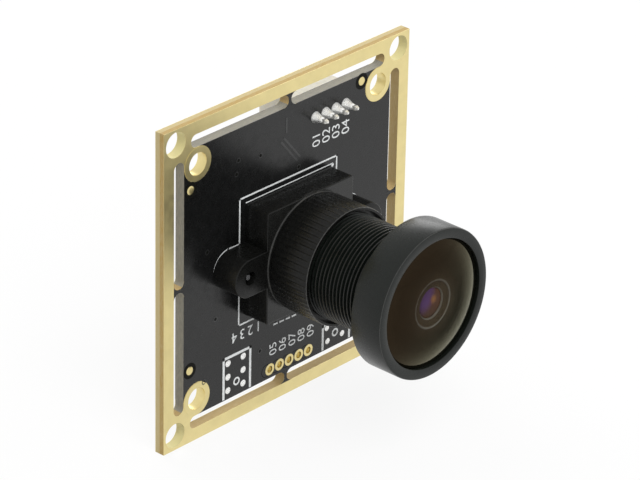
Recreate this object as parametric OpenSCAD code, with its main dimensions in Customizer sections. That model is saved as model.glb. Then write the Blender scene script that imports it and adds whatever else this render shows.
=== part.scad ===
// Board camera: a square circuit board in a snap-off rail, with a wide-angle
// screw-in lens in a holder that two screws hold from behind.
// Every piece is drawn flat, board down and lens up, and stand() tips the whole
// camera so that the lens looks along -Y and the board stands upright.
// The origin is the centre of the board's back face, on the lens axis.

/* [Board] */
// Side of the inner board, inside the snap slots
core_w = 32; // [31:0.5:36]
// Width of a snap slot
slot_w = 1.5; // [1.2:0.1:2]
// Width of the snap-off rail
rail_w = 1.5; // [1.2:0.1:2.5]
// Web left at a corner, from the inner board's side line to the slot's end
corner_web = 1; // [0.8:0.1:1.6]
// Width of the snap tab at the middle of each side
tab_w = 0.4; // [0.3:0.1:1.2]
// Thickness of the laminate
board_t = 1.2; // [0.8:0.1:1.6]

/* [Fixing holes] */
// Diameter of the holes in the rail's corners
rail_hole_d = 2.9; // [2.5:0.1:3]
// Distance of a rail hole's centre from the panel's edges
rail_hole_inset = 1.75; // [1.7:0.05:1.9]
// Clear diameter of the plated holes in the inner board
mount_hole_d = 2.6; // [2:0.1:2.9]
// Distance of a plated hole's centre from the inner board's sides
mount_inset = 2; // [2:0.1:2.5]
// Width of the gold ring around a plated hole
mount_ring_w = 0.65; // [0.4:0.05:0.7]
// Thickness of the plating in the holes and of its rings
plating_t = 0.05; // [0.04:0.01:0.08]

/* [Signal pads] */
// Number of plated signal holes along the lower edge
pad_count = 5; // [3:1:6]
// Pitch of the signal holes
pad_pitch = 1.54; // [1.5:0.02:1.8]
// Outer diameter of a signal pad
pad_d = 1.4; // [1.2:0.05:1.45]
// Clear diameter of a signal hole
pad_hole_d = 0.8; // [0.6:0.05:0.9]
// Offset of the signal row's centre to the right of the lens axis
pad_x = 0.52; // [0:0.1:1.5]
// Height of the signal row above the inner board's lower edge
pad_edge = 1.1; // [1:0.05:1.6]

/* [Header] */
// Number of pins in the cable header
pin_count = 4; // [2:1:5]
// Pitch of the header pins
pin_pitch = 1.6; // [1.5:0.05:1.8]
// Side of a square header pin
pin_w = 0.46; // [0.4:0.02:0.5]
// Distance that a pin stands out in front of the board
pin_reach = 1.9; // [1.5:0.1:2.4]
// Offset of the header's centre to the right of the lens axis
header_x = 6.42; // [5.8:0.1:7]
// Distance of the pin row from the inner board's upper edge
header_edge = 2.65; // [2.4:0.05:3]
// Depth of the header's shell, off the back of the board
shell_h = 5.6; // [5:0.1:7]
// Width of the header's shell across its row
shell_w = 3.8; // [3.6:0.1:4.2]
// Length of the header's shell beyond each end pin
shell_end = 1.5; // [1.4:0.1:2]
// Wall of the header's shell
shell_wall = 0.6; // [0.5:0.05:0.7]
// Thickness of the shell's floor, which holds the pins
shell_floor = 1.4; // [1:0.1:1.8]
// Radius of a solder cone where it meets the board
solder_r = 0.68; // [0.6:0.02:0.72]
// Height of a solder cone
solder_h = 1; // [0.7:0.1:1.3]

/* [Lens holder] */
// Side of the holder's square block
block_w = 13.4; // [13.2:0.1:14.4]
// Height of the block and of its ears
block_h = 3.35; // [3:0.05:4]
// Wall of the block around the sensor
block_wall = 1; // [0.8:0.1:1.4]
// Thickness of the block's roof, where the lens thread starts
roof_t = 0.7; // [0.5:0.1:1]
// Distance of a holder screw from the lens axis
ear_x = 9.3; // [9:0.1:9.8]
// Radius of the round end of an ear
ear_r = 2.25; // [1.9:0.05:2.4]
// Wall of the round barrel, from the thread's bore to the top of a rib
barrel_wall = 0.72; // [0.65:0.01:1]
// Height of the barrel above the block
barrel_h = 5.65; // [5:0.1:6.5]
// Height of the plain band between the block and the ribs
band_h = 0.5; // [0.3:0.1:1]
// Number of ribs around the barrel
rib_count = 60; // [36:2:72]
// Depth of the grooves between the ribs
rib_depth = 0.13; // [0.08:0.01:0.16]
// Depth of the relief inside the barrel's mouth
mouth_depth = 0.6; // [0.3:0.1:1]
// Wall left around the relief in the mouth
mouth_wall = 0.3; // [0.25:0.05:0.4]

/* [Holder screws] */
// Thread diameter of a holder screw
screw_d = 1.5; // [1.4:0.1:1.6]
// Head diameter of a holder screw
screw_head_d = 3; // [2.8:0.1:3.4]
// Head height of a holder screw
screw_head_h = 1.1; // [0.9:0.1:1.4]
// Depth of the screw's point below the front of the ear
screw_short = 0.35; // [0.2:0.05:0.8]
// Width of an arm of the cross recess
cross_w = 0.4; // [0.3:0.05:0.5]
// Span of the cross recess
cross_span = 1.7; // [1.4:0.1:2]
// Depth of the cross recess
cross_depth = 0.6; // [0.4:0.1:0.8]

/* [Lens body] */
// Outer diameter of the lens thread
thread_d = 12; // [12:0.1:12.2]
// Pitch of the lens thread
thread_pitch = 0.5; // [0.5:0.05:0.75]
// Depth of the lens thread
thread_depth = 0.27; // [0.2:0.01:0.35]
// Length of lens between the holder and the head
thread_show = 7.95; // [6.5:0.05:9]
// Plain neck between the thread and the head
neck_h = 0.5; // [0.4:0.1:1]
// Outer diameter of the head
head_d = 17; // [16.6:0.1:18]
// Length of the head
head_h = 4.05; // [3.8:0.05:5]
// Wall of the head around the front glass
head_wall = 1.18; // [1:0.02:1.3]
// Chamfer on the head's edges
head_chamfer = 0.15; // [0.1:0.05:0.3]
// Wall of the lens body around the inner glasses, under the thread
tube_wall = 0.93; // [0.8:0.01:1]
// Length of the body behind the rear glass's seat
rear_lip = 2.25; // [2.1:0.05:2.6]
// Depth of the filter's seat in the rear end
filter_seat = 0.6; // [0.5:0.05:0.8]

/* [Front glass] */
// Depth of the glass's rim below the front of the head
glass_sink = 0.4; // [0.2:0.05:0.8]
// Radius of the front surface
glass_front_r = 15.5; // [13:0.5:25]
// Thickness of the front glass at its rim
glass_rim_t = 1.93; // [1.7:0.01:2.2]
// Radius of the hollow in the back of the front glass
glass_back_r = 3.5; // [3.4:0.05:4]
// Radius of the hollow's mouth
glass_hollow = 3.1; // [2.9:0.05:3.2]

/* [Inner glasses] */
// Thickness of the seal behind the front glass
seal_t = 0.47; // [0.3:0.01:0.6]
// Wall of the rings that space the inner glasses
ring_wall = 0.72; // [0.6:0.02:0.9]
// Flat rim of a curved inner glass, inside its ring
glass_flat = 0.15; // [0.1:0.05:0.3]
// Width of the ledge that the infrared filter rests on
filter_ledge = 0.3; // [0.2:0.05:0.4]
// Rim thickness of the second glass
second_t = 3; // [2.8:0.1:3.2]
// Radius of the second glass's front surface
second_front_r = 11; // [9:0.5:16]
// Radius of the hollow in the second glass
second_back_r = 3.6; // [3.5:0.1:4.2]
// Radius of that hollow's mouth
second_hollow = 3.3; // [3:0.1:3.4]
// Rim thickness of the third glass
third_t = 1.6; // [1.2:0.1:2]
// Radius of the third glass's front surface
third_front_r = 7; // [6:0.5:12]
// Radius of the third glass's rear surface
third_back_r = 12; // [10:0.5:20]
// Rim thickness of the fourth glass
fourth_t = 2; // [1.6:0.1:2.2]
// Radius of the fourth glass's front surface
fourth_front_r = 9; // [7:0.5:14]
// Rim thickness of the rear glass
rear_t = 1.4; // [1.1:0.1:1.6]
// Radius of both surfaces of the rear glass
rear_face_r = 8; // [7.5:0.5:12]
// Radius of the hole in the stop
stop_r = 1; // [0.6:0.1:1.6]
// Thickness of the stop
stop_t = 0.2; // [0.1:0.05:0.3]
// Air between a curved surface and its next neighbour
air_gap = 0.2; // [0.15:0.05:0.25]
// Thickness of the infrared filter
filter_t = 0.3; // [0.2:0.05:0.4]

/* [Sensor] */
// Width of the image sensor
sensor_w = 7; // [6:0.1:8]
// Height of the image sensor
sensor_h = 5.2; // [4.5:0.1:6]
// Thickness of the sensor's package
sensor_t = 0.7; // [0.5:0.05:0.8]
// Thickness of the glass on the sensor
sensor_glass_t = 0.4; // [0.3:0.05:0.5]
// Margin of the package around its glass
sensor_margin = 0.25; // [0.1:0.05:0.5]

/* [Back of the board] */
// Distance from the signal holes up to the lowest row of small parts
row_gap = 1.9; // [1.8:0.1:2.2]
// Distance from that row up to the regulators
regulator_gap = 3.4; // [3.3:0.1:3.6]
// Side of the controller's body
chip_w = 7; // [6:0.5:8]
// Thickness of the controller's body
chip_t = 1; // [0.8:0.1:1.4]
// Leads on each side of the controller
chip_leads = 12; // [8:1:12]
// Pitch of the controller's leads
chip_pitch = 0.5; // [0.45:0.01:0.52]
// Length of the memory's body along its lead rows
memory_l = 4.9; // [4.4:0.1:5.4]
// Width of the memory's body between its lead rows
memory_w = 3.9; // [3.5:0.1:4.2]
// Thickness of the memory's body
memory_t = 1.3; // [1.1:0.1:1.5]
// Pitch of the memory's leads
memory_pitch = 1.27; // [1.2:0.01:1.3]
// Gap between a chip's body and the board
chip_lift = 0.1; // [0.05:0.01:0.2]
// Draft on the sides of a chip's body
chip_draft = 0.12; // [0.08:0.01:0.16]
// Width of a controller's lead
lead_w = 0.24; // [0.2:0.01:0.28]
// Width of a memory's or regulator's lead
wide_lead_w = 0.42; // [0.38:0.01:0.46]
// Length of a lead's foot on the board
foot_l = 0.5; // [0.4:0.05:0.6]
// Thickness of a chip's leads
lead_t = 0.15; // [0.12:0.01:0.18]
// Reach of a chip's leads beyond its body
lead_reach = 1; // [0.8:0.1:1.1]
// Length of the clock crystal's can
crystal_l = 5; // [4.4:0.1:5.4]
// Width of the clock crystal's can
crystal_w = 3.2; // [2.8:0.1:3.6]
// Height of the clock crystal
crystal_h = 1.3; // [1.1:0.1:1.5]
// Corner radius of the crystal's base
crystal_corner = 0.2; // [0.1:0.05:0.4]
// Corner radius of the crystal's lid
lid_corner = 0.6; // [0.4:0.05:0.8]
// Ledge of the base around the crystal's lid
lid_margin = 0.2; // [0.15:0.05:0.3]
// Length of a regulator's body
regulator_l = 2.9; // [2.6:0.1:3.1]
// Width of a regulator's body
regulator_w = 1.6; // [1.4:0.1:1.8]
// Thickness of a regulator's body
regulator_t = 1.1; // [0.9:0.1:1.2]
// Pitch of a regulator's three leads
regulator_pitch = 0.95; // [0.9:0.01:1]
// Side of the coil
coil_w = 4; // [3.6:0.1:4.4]
// Height of the coil
coil_h = 1.8; // [1.5:0.1:2.2]
// Length of a small capacitor or resistor
chip_part_l = 1.6; // [1.4:0.1:1.8]
// Width of a small capacitor or resistor
chip_part_w = 0.8; // [0.7:0.05:0.9]
// Height of a small capacitor
capacitor_h = 0.8; // [0.6:0.05:0.9]
// Height of a small resistor
resistor_h = 0.45; // [0.35:0.05:0.55]
// Length of the metal cap on the end of a small part
cap_l = 0.35; // [0.25:0.05:0.45]

/* [Fits] */
// Radial clearance between the lens thread and the holder
thread_gap = 0.03; // [0.02:0.01:0.08]
// Radial clearance of a glass, ring or filter in its bore
glass_gap = 0.03; // [0.02:0.01:0.06]
// Radial clearance of a holder screw in the ear
screw_gap = 0.02; // [0.01:0.01:0.05]
// Radial clearance of a screw or pin through the board
hole_gap = 0.15; // [0.1:0.05:0.2]

/* [Hidden] */
$fn = 96;
eps = 0.01;

// Board
panel_w = core_w + 2 * (slot_w + rail_w);
slot_mid = core_w / 2 + slot_w / 2;
slot_from = tab_w / 2;
slot_to = core_w / 2 - corner_web;
rail_hole_at = panel_w / 2 - rail_hole_inset;
mount_at = core_w / 2 - mount_inset;
mount_r = mount_hole_d / 2;
pad_y = -core_w / 2 + pad_edge;
header_y = core_w / 2 - header_edge;
header_first = header_x - pin_pitch * (pin_count - 1) / 2;
pin_hole_r = pin_w * sqrt(2) / 2 + hole_gap;
shell_l = pin_pitch * (pin_count - 1) + 2 * shell_end;
shell_corner = 0.3;
screw_hole_r = screw_d / 2 + hole_gap;

// Heights above the board's back
block_top = board_t + block_h;
mouth_top = block_top + barrel_h;
head_back = mouth_top + thread_show;
head_front = head_back + head_h;

// Holder
holder_bore_r = thread_d / 2 + thread_gap;
barrel_r = holder_bore_r + barrel_wall;
band_step = 0.04;
band_r = barrel_r - rib_depth - band_step;
rib_groove_r = 0.25;
mouth_r = barrel_r - rib_depth - mouth_wall;
room_w = block_w - 2 * block_wall;
block_corner = 0.35;

// Lens body and the stack of glasses, from the front to the rear
thread_core_r = thread_d / 2 - thread_depth;
tube_bore_r = thread_core_r - tube_wall;
head_bore_r = head_d / 2 - head_wall;
glass_r = head_bore_r - glass_gap;
inner_r = tube_bore_r - glass_gap;
ring_bore_r = inner_r - ring_wall;
eye_r = ring_bore_r - glass_flat;
glass_rim = head_front - glass_sink;
glass_seat = glass_rim - glass_rim_t;
second_top = glass_seat - seal_t;
second_base = second_top - second_t;
third_top = second_base - bulge(third_front_r, eye_r) - air_gap;
third_base = third_top - third_t;
stop_top = third_base - bulge(third_back_r, eye_r) - air_gap;
stop_base = stop_top - stop_t;
fourth_top = stop_base - bulge(fourth_front_r, eye_r) - air_gap;
fourth_base = fourth_top - fourth_t;
rear_top = fourth_base - bulge(rear_face_r, eye_r) - air_gap;
rear_base = rear_top - rear_t;
lens_rear = rear_base - rear_lip;
filter_r = ring_bore_r + filter_ledge;

// Back of the board: [x, y, turn] of each piece
chip_at = [0.4, 1.2, 0];
memory_at = [-8.6, 9.4, 0];
crystal_at = [8.9, -6.6, 90];
coil_at = [-8.8, -9.2, 0];
lower_row = pad_y + row_gap;
regulator_row = lower_row + regulator_gap;
REGULATORS = [[-3.4, regulator_row, 0], [2.2, regulator_row, 0]];
CAPACITORS = [
    [-6.2, 3.6, 90], [-6.2, 1.2, 90], [-1.6, 7.6, 0], [0.8, 7.6, 0], [6.9, 4.4, 90],
    [-6.2, -6.8, 90], [-0.6, -7, 0], [5.6, regulator_row - 0.8, 90], [-12.6, -6.6, 90], [-12.6, -9.2, 90],
    [12.4, 4.6, 90], [-3.4, lower_row, 0]
];
RESISTORS = [
    [-0.6, 10.2, 90], [0.9, 10.2, 90], [-2.1, 10.2, 90], [11.6, 8.6, 0], [11.6, 7.2, 0],
    [12.2, -3.2, 0], [6, lower_row, 0], [8.6, lower_row, 0], [-0.4, lower_row, 0], [-13, 5, 90]
];

// Height of a spherical surface of radius r over a circle of radius a
function bulge(r, a) = r - sqrt(r * r - a * a);

// Tips a piece drawn flat so that its height points along -Y
module stand() {
    rotate([90, 0, 0]) children();
}

module at_corners(d) {
    for (sx = [-1, 1], sy = [-1, 1]) translate([sx * d, sy * d, 0]) children();
}

// Places a piece of the board's back, which hangs below the board
module on_back(place) {
    translate([place[0], place[1], 0]) rotate([0, 0, place[2]]) mirror([0, 0, 1]) children();
}

module each_pin() {
    for (i = [0 : pin_count - 1]) translate([header_first + i * pin_pitch, header_y, 0]) children();
}

module each_pad() {
    for (i = [0 : pad_count - 1])
        translate([pad_x + (i - (pad_count - 1) / 2) * pad_pitch, pad_y, 0]) children();
}

module each_ear() {
    for (side = [-1, 1]) translate([side * ear_x, 0, 0]) children();
}

module drill(r, low, high) {
    translate([0, 0, low]) cylinder(r = r, h = high - low);
}

module tube(outer, inner, low, high) {
    difference() {
        drill(outer, low, high);
        drill(inner, low - 1, high + 1);
    }
}

module rounded_square(w, h, r) {
    union() {
        square([w - 2 * r, h], center = true);
        square([w, h - 2 * r], center = true);
        for (sx = [-1, 1], sy = [-1, 1])
            translate([sx * (w / 2 - r), sy * (h / 2 - r)]) circle(r = r);
    }
}

// ---- Board ----

// The half slot on one side, from the snap tab to the corner web
module half_slot() {
    union() {
        translate([slot_from + slot_w / 2, slot_mid]) circle(d = slot_w);
        translate([slot_to - slot_w / 2, slot_mid]) circle(d = slot_w);
        translate([slot_from + slot_w / 2, core_w / 2]) square([slot_to - slot_from - slot_w, slot_w]);
    }
}

module board_outline() {
    difference() {
        square([panel_w, panel_w], center = true);
        for (turn = [0 : 90 : 270]) rotate(turn) {
            half_slot();
            mirror([1, 0]) half_slot();
        }
    }
}

module circuit_board() {
    color([0.13, 0.13, 0.14]) stand() difference() {
        linear_extrude(height = board_t) board_outline();
        at_corners(rail_hole_at) drill(rail_hole_d / 2, -1, board_t + 1);
        at_corners(mount_at) drill(mount_r + plating_t, -1, board_t + 1);
        each_pad() drill(pad_hole_d / 2 + plating_t, -1, board_t + 1);
        each_pin() drill(pin_hole_r, -1, board_t + 1);
        each_ear() drill(screw_hole_r, -1, board_t + 1);
    }
}

// A plated hole: a thin tube through the board with a ring on each face
module plated_hole(hole_r, ring_r) {
    difference() {
        union() {
            drill(hole_r + plating_t, -plating_t, board_t + plating_t);
            drill(ring_r, -plating_t, 0);
            drill(ring_r, board_t, board_t + plating_t);
        }
        drill(hole_r, -1, board_t + 1);
    }
}

module mounting_rings() {
    color([0.85, 0.74, 0.42]) stand() at_corners(mount_at) plated_hole(mount_r, mount_r + mount_ring_w);
}

module signal_pads() {
    color([0.85, 0.74, 0.42]) stand() each_pad() plated_hole(pad_hole_d / 2, pad_d / 2);
}

// ---- Cable header ----

// The open shell on the back, with a slot in one long wall for the plug's key ribs
module header_shell() {
    key_w = 1;
    color([0.9, 0.88, 0.8]) stand() difference() {
        on_back([header_x, header_y, 0])
            linear_extrude(height = shell_h) rounded_square(shell_l, shell_w, shell_corner);
        on_back([header_x, header_y, 0]) translate([0, 0, shell_floor])
            linear_extrude(height = shell_h)
                square([shell_l - 2 * shell_wall, shell_w - 2 * shell_wall], center = true);
        for (side = [-1, 1])
            on_back([header_x + side * (shell_l / 2 - shell_wall - key_w), header_y - shell_w / 2, 0])
                translate([-key_w / 2, -shell_wall, shell_floor + 1])
                    cube([key_w, 3 * shell_wall, shell_h]);
        each_pin() translate([-pin_w / 2, -pin_w / 2, -shell_h - 1]) cube([pin_w, pin_w, shell_h + 2]);
    }
}

// A square pin with a tapered tip at both ends
module header_pins() {
    tip = 0.35;
    tail = shell_h - 0.8;
    color([0.8, 0.8, 0.78]) stand() each_pin() union() {
        translate([-pin_w / 2, -pin_w / 2, tip - tail]) cube([pin_w, pin_w, tail + board_t + pin_reach - 2 * tip]);
        translate([0, 0, board_t + pin_reach - tip]) pin_tip(tip);
        translate([0, 0, tip - tail]) mirror([0, 0, 1]) pin_tip(tip);
    }
}

module pin_tip(h) {
    intersection() {
        rotate([90, 0, 0]) linear_extrude(height = pin_w, center = true) pin_tip_side(h);
        rotate([90, 0, 90]) linear_extrude(height = pin_w, center = true) pin_tip_side(h);
    }
}

module pin_tip_side(h) {
    polygon([[-pin_w / 2, 0], [pin_w / 2, 0], [pin_w / 4, h], [-pin_w / 4, h]]);
}

// Solder cones around the pins on the board's front, hollow-sided as wetted solder is
module header_solder() {
    waist_r = pin_w * 0.78;
    color([0.82, 0.82, 0.8]) stand() each_pin() difference() {
        rotate_extrude() polygon(concat(
            [[0, board_t]],
            [for (i = [0 : 8]) let (u = i / 8)
                [solder_r + (waist_r - solder_r) * sin(90 * u), board_t + 0.04 + (solder_h - 0.04) * (1 - cos(90 * u))]],
            [[0, board_t + solder_h]]
        ));
        translate([-pin_w / 2, -pin_w / 2, 0]) cube([pin_w, pin_w, board_t + solder_h + 1]);
    }
}

// ---- Lens holder ----

module holder_foot() {
    union() {
        rounded_square(block_w, block_w, block_corner);
        for (side = [-1, 1]) translate([side * ear_x, 0]) circle(r = ear_r);
        square([2 * ear_x, 2 * ear_r], center = true);
    }
}

module ribbed_ring() {
    difference() {
        circle(r = barrel_r, $fn = 180);
        for (i = [0 : rib_count - 1]) rotate(i * 360 / rib_count)
            translate([barrel_r + rib_groove_r - rib_depth, 0]) circle(r = rib_groove_r, $fn = 24);
    }
}

module lens_holder() {
    color([0.09, 0.09, 0.09]) stand() difference() {
        union() {
            translate([0, 0, board_t]) linear_extrude(height = block_h) holder_foot();
            drill(band_r, block_top - eps, block_top + band_h + eps);
            translate([0, 0, block_top + band_h]) linear_extrude(height = barrel_h - band_h) ribbed_ring();
        }
        translate([0, 0, board_t - 1]) linear_extrude(height = block_h - roof_t + 1)
            rounded_square(room_w, room_w, block_corner);
        drill(holder_bore_r, board_t, mouth_top + 1);
        drill(mouth_r, mouth_top - mouth_depth, mouth_top + 1);
        each_ear() drill(screw_d / 2 + screw_gap, 0, block_top + 1);
    }
}

// A pan-head screw, driven from behind, with its point just short of the ear's front
module holder_screws() {
    point_h = 0.6;
    shank_top = block_top - screw_short;
    color([0.75, 0.75, 0.77]) stand() each_ear() difference() {
        rotate_extrude() polygon([
            [0, -screw_head_h], [screw_head_d * 0.3, -screw_head_h],
            [screw_head_d * 0.44, -screw_head_h * 0.75], [screw_head_d / 2, -screw_head_h * 0.35],
            [screw_head_d / 2, 0], [screw_d / 2, 0], [screw_d / 2, shank_top - point_h],
            [screw_d * 0.2, shank_top], [0, shank_top]
        ]);
        for (turn = [0, 90]) rotate([0, 0, turn])
            translate([-cross_span / 2, -cross_w / 2, -screw_head_h - 1])
                cube([cross_span, cross_w, cross_depth + 1]);
    }
}

// ---- Lens body ----

// Points of the thread's saw edge, from low to high
function thread_edge(low, high) =
    let (turns = floor((high - low) / thread_pitch))
    [for (i = [0 : turns - 1], k = [0, 1])
        [k == 0 ? thread_core_r : thread_d / 2, low + (i + k / 2) * thread_pitch]];

module lens_body() {
    c = head_chamfer;
    thread_low = lens_rear + 0.4;
    thread_high = head_back - neck_h;
    color([0.16, 0.17, 0.17]) stand() difference() {
        rotate_extrude($fn = 180) polygon(concat(
            [[0, lens_rear], [thread_core_r - c, lens_rear], [thread_core_r, lens_rear + c]],
            thread_edge(thread_low, thread_high),
            [
                [thread_core_r, thread_high], [thread_core_r, head_back],
                [head_d / 2 - c, head_back], [head_d / 2, head_back + c],
                [head_d / 2, head_front - c], [head_d / 2 - c, head_front], [0, head_front]
            ]
        ));
        drill(head_bore_r, glass_seat, head_front + 1);
        drill(tube_bore_r, rear_base, head_front);
        drill(ring_bore_r, lens_rear, head_front);
        drill(filter_r + glass_gap, lens_rear - 1, lens_rear + filter_seat);
    }
}

// ---- Glasses and rings, front to rear ----

// A glass disc between two heights; a positive face radius bulges, a negative one is hollow
module glass(r, low, high, front_r, front_a, back_r, back_a) {
    difference() {
        union() {
            drill(r, low, high);
            if (front_r > 0) intersection() {
                translate([0, 0, high + bulge(front_r, front_a) - front_r]) sphere(r = front_r);
                drill(front_r, high - eps, high + front_r);
            }
            if (back_r > 0) intersection() {
                translate([0, 0, low - bulge(back_r, back_a) + back_r]) sphere(r = back_r);
                drill(back_r, low - back_r, low + eps);
            }
        }
        if (back_r < 0) translate([0, 0, low + bulge(-back_r, back_a) + back_r]) sphere(r = -back_r);
    }
}

module front_glass() {
    color([0.3, 0.27, 0.22, 0.6]) stand() difference() {
        intersection() {
            drill(glass_r, glass_seat, head_front + head_d / 2);
            translate([0, 0, glass_rim + bulge(glass_front_r, glass_r) - glass_front_r])
                sphere(r = glass_front_r);
        }
        translate([0, 0, glass_seat + bulge(glass_back_r, glass_hollow) - glass_back_r])
            sphere(r = glass_back_r);
    }
}

module front_seal() {
    color([0.05, 0.05, 0.05]) stand() tube(inner_r, ring_bore_r, second_top, glass_seat);
}

module second_glass() {
    color([0.4, 0.45, 0.5, 0.6]) stand()
        glass(inner_r, second_base, second_top, second_front_r, eye_r, -second_back_r, second_hollow);
}

module second_spacer() {
    color([0.1, 0.1, 0.1]) stand() tube(inner_r, ring_bore_r, third_top, second_base);
}

module third_glass() {
    color([0.4, 0.45, 0.5, 0.6]) stand()
        glass(inner_r, third_base, third_top, third_front_r, eye_r, third_back_r, eye_r);
}

module third_spacer() {
    color([0.1, 0.1, 0.1]) stand() tube(inner_r, ring_bore_r, stop_top, third_base);
}

module aperture_stop() {
    color([0.05, 0.05, 0.05]) stand() tube(inner_r, stop_r, stop_base, stop_top);
}

module fourth_spacer() {
    color([0.1, 0.1, 0.1]) stand() tube(inner_r, ring_bore_r, fourth_top, stop_base);
}

module fourth_glass() {
    color([0.4, 0.45, 0.5, 0.6]) stand()
        glass(inner_r, fourth_base, fourth_top, fourth_front_r, eye_r, 0, 0);
}

module rear_spacer() {
    color([0.1, 0.1, 0.1]) stand() tube(inner_r, ring_bore_r, rear_top, fourth_base);
}

module rear_glass() {
    color([0.4, 0.45, 0.5, 0.6]) stand()
        glass(inner_r, rear_base, rear_top, rear_face_r, eye_r, rear_face_r, eye_r);
}

module infrared_filter() {
    filter_top = lens_rear + filter_seat;
    color([0.6, 0.75, 0.8, 0.6]) stand() drill(filter_r, filter_top - filter_t, filter_top);
}

// ---- Sensor ----

module image_sensor() {
    color([0.1, 0.12, 0.14]) stand() translate([0, 0, board_t])
        linear_extrude(height = sensor_t) square([sensor_w, sensor_h], center = true);
}

module sensor_glass() {
    color([0.5, 0.6, 0.6, 0.6]) stand() translate([0, 0, board_t + sensor_t])
        linear_extrude(height = sensor_glass_t)
            square([sensor_w - 2 * sensor_margin, sensor_h - 2 * sensor_margin], center = true);
}

// ---- Back of the board ----

// Moulded body of a chip: two drafted halves that meet at the leads' height
module chip_body(l, w, t) {
    intersection() {
        rotate([90, 0, 0]) linear_extrude(height = w, center = true) chip_side(l, t);
        rotate([90, 0, 90]) linear_extrude(height = l, center = true) chip_side(w, t);
    }
}

module chip_side(l, t) {
    mid = chip_lift + t / 2;
    polygon([
        [-l / 2 + chip_draft, chip_lift], [l / 2 - chip_draft, chip_lift], [l / 2, mid],
        [l / 2 - chip_draft, chip_lift + t], [-l / 2 + chip_draft, chip_lift + t], [-l / 2, mid]
    ]);
}

// One gull-wing lead, whose root stands at x = 0 at the height of the body's middle
module lead(w, t) {
    mid = chip_lift + t / 2;
    shin = lead_reach - foot_l;
    rotate([90, 0, 0]) linear_extrude(height = w, center = true) polygon([
        [0, mid - lead_t / 2], [shin * 0.4, mid - lead_t / 2], [shin * 0.8, 0], [lead_reach, 0],
        [lead_reach, lead_t], [shin * 0.8 + lead_t, lead_t], [shin * 0.4 + lead_t, mid + lead_t / 2],
        [0, mid + lead_t / 2]
    ]);
}

module lead_row(count, pitch, w, t, reach_from) {
    for (i = [0 : count - 1]) translate([reach_from, (i - (count - 1) / 2) * pitch, 0]) lead(w, t);
}

module controller_chip() {
    color([0.12, 0.12, 0.13]) stand() on_back(chip_at) chip_body(chip_w, chip_w, chip_t);
}

module controller_leads() {
    color([0.75, 0.75, 0.75]) stand() on_back(chip_at)
        for (turn = [0 : 90 : 270]) rotate([0, 0, turn])
            lead_row(chip_leads, chip_pitch, lead_w, chip_t, chip_w / 2);
}

module memory_chip() {
    color([0.12, 0.12, 0.13]) stand() on_back(memory_at) chip_body(memory_w, memory_l, memory_t);
}

module memory_leads() {
    color([0.75, 0.75, 0.75]) stand() on_back(memory_at)
        for (turn = [0, 180]) rotate([0, 0, turn]) lead_row(4, memory_pitch, wide_lead_w, memory_t, memory_w / 2);
}

// The crystal: a metal lid with round corners on a ceramic base
module crystal_base() {
    color([0.75, 0.7, 0.6]) stand() on_back(crystal_at)
        linear_extrude(height = crystal_h * 0.4) rounded_square(crystal_l, crystal_w, crystal_corner);
}

module crystal_can() {
    color([0.8, 0.8, 0.8]) stand() on_back(crystal_at) translate([0, 0, crystal_h * 0.4])
        linear_extrude(height = crystal_h * 0.6)
            rounded_square(crystal_l - 2 * lid_margin, crystal_w - 2 * lid_margin, lid_corner);
}

module regulators() {
    color([0.12, 0.12, 0.13]) stand()
        for (place = REGULATORS) on_back(place) chip_body(regulator_l, regulator_w, regulator_t);
}

// Three leads on one long side and two on the other
module regulator_leads() {
    color([0.75, 0.75, 0.75]) stand()
        for (place = REGULATORS) on_back(place) {
            rotate([0, 0, 90]) lead_row(3, regulator_pitch, wide_lead_w, regulator_t, regulator_w / 2);
            rotate([0, 0, -90]) lead_row(2, 2 * regulator_pitch, wide_lead_w, regulator_t, regulator_w / 2);
        }
}

// The coil: a moulded block with its corners cut, between two folded end plates
module power_coil() {
    cut = 0.5;
    h = coil_w / 2;
    color([0.25, 0.25, 0.27]) stand() on_back(coil_at)
        linear_extrude(height = coil_h) polygon([
            [-h, cut - h], [cut - h, -h], [h - cut, -h], [h, cut - h],
            [h, h - cut], [h - cut, h], [cut - h, h], [-h, h - cut]
        ]);
}

module coil_ends() {
    plate_t = 0.15;
    plate_w = coil_w * 0.6;
    color([0.8, 0.8, 0.8]) stand() on_back(coil_at)
        for (side = [-1, 1]) translate([side * (coil_w / 2 + plate_t / 2), 0, 0])
            linear_extrude(height = coil_h * 0.6) square([plate_t, plate_w], center = true);
}

module small_bodies(places, h) {
    for (place = places) on_back(place)
        linear_extrude(height = h) square([chip_part_l - 2 * cap_l, chip_part_w], center = true);
}

module small_ends(places, h) {
    skin = 0.02;
    for (place = places, side = [-1, 1]) on_back(place)
        translate([side * (chip_part_l - cap_l) / 2, 0, 0])
            linear_extrude(height = h + skin) square([cap_l, chip_part_w + 2 * skin], center = true);
}

module capacitors() {
    color([0.62, 0.48, 0.32]) stand() small_bodies(CAPACITORS, capacitor_h);
}

module capacitor_ends() {
    color([0.8, 0.8, 0.8]) stand() small_ends(CAPACITORS, capacitor_h);
}

module resistors() {
    color([0.1, 0.1, 0.1]) stand() small_bodies(RESISTORS, resistor_h);
}

module resistor_ends() {
    color([0.8, 0.8, 0.8]) stand() small_ends(RESISTORS, resistor_h);
}

circuit_board();
mounting_rings();
signal_pads();
header_shell();
header_pins();
header_solder();
lens_holder();
holder_screws();
lens_body();
front_glass();
front_seal();
second_glass();
second_spacer();
third_glass();
third_spacer();
aperture_stop();
fourth_spacer();
fourth_glass();
rear_spacer();
rear_glass();
infrared_filter();
image_sensor();
sensor_glass();
controller_chip();
controller_leads();
memory_chip();
memory_leads();
crystal_can();
crystal_base();
regulators();
regulator_leads();
power_coil();
coil_ends();
capacitors();
capacitor_ends();
resistors();
resistor_ends();
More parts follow.
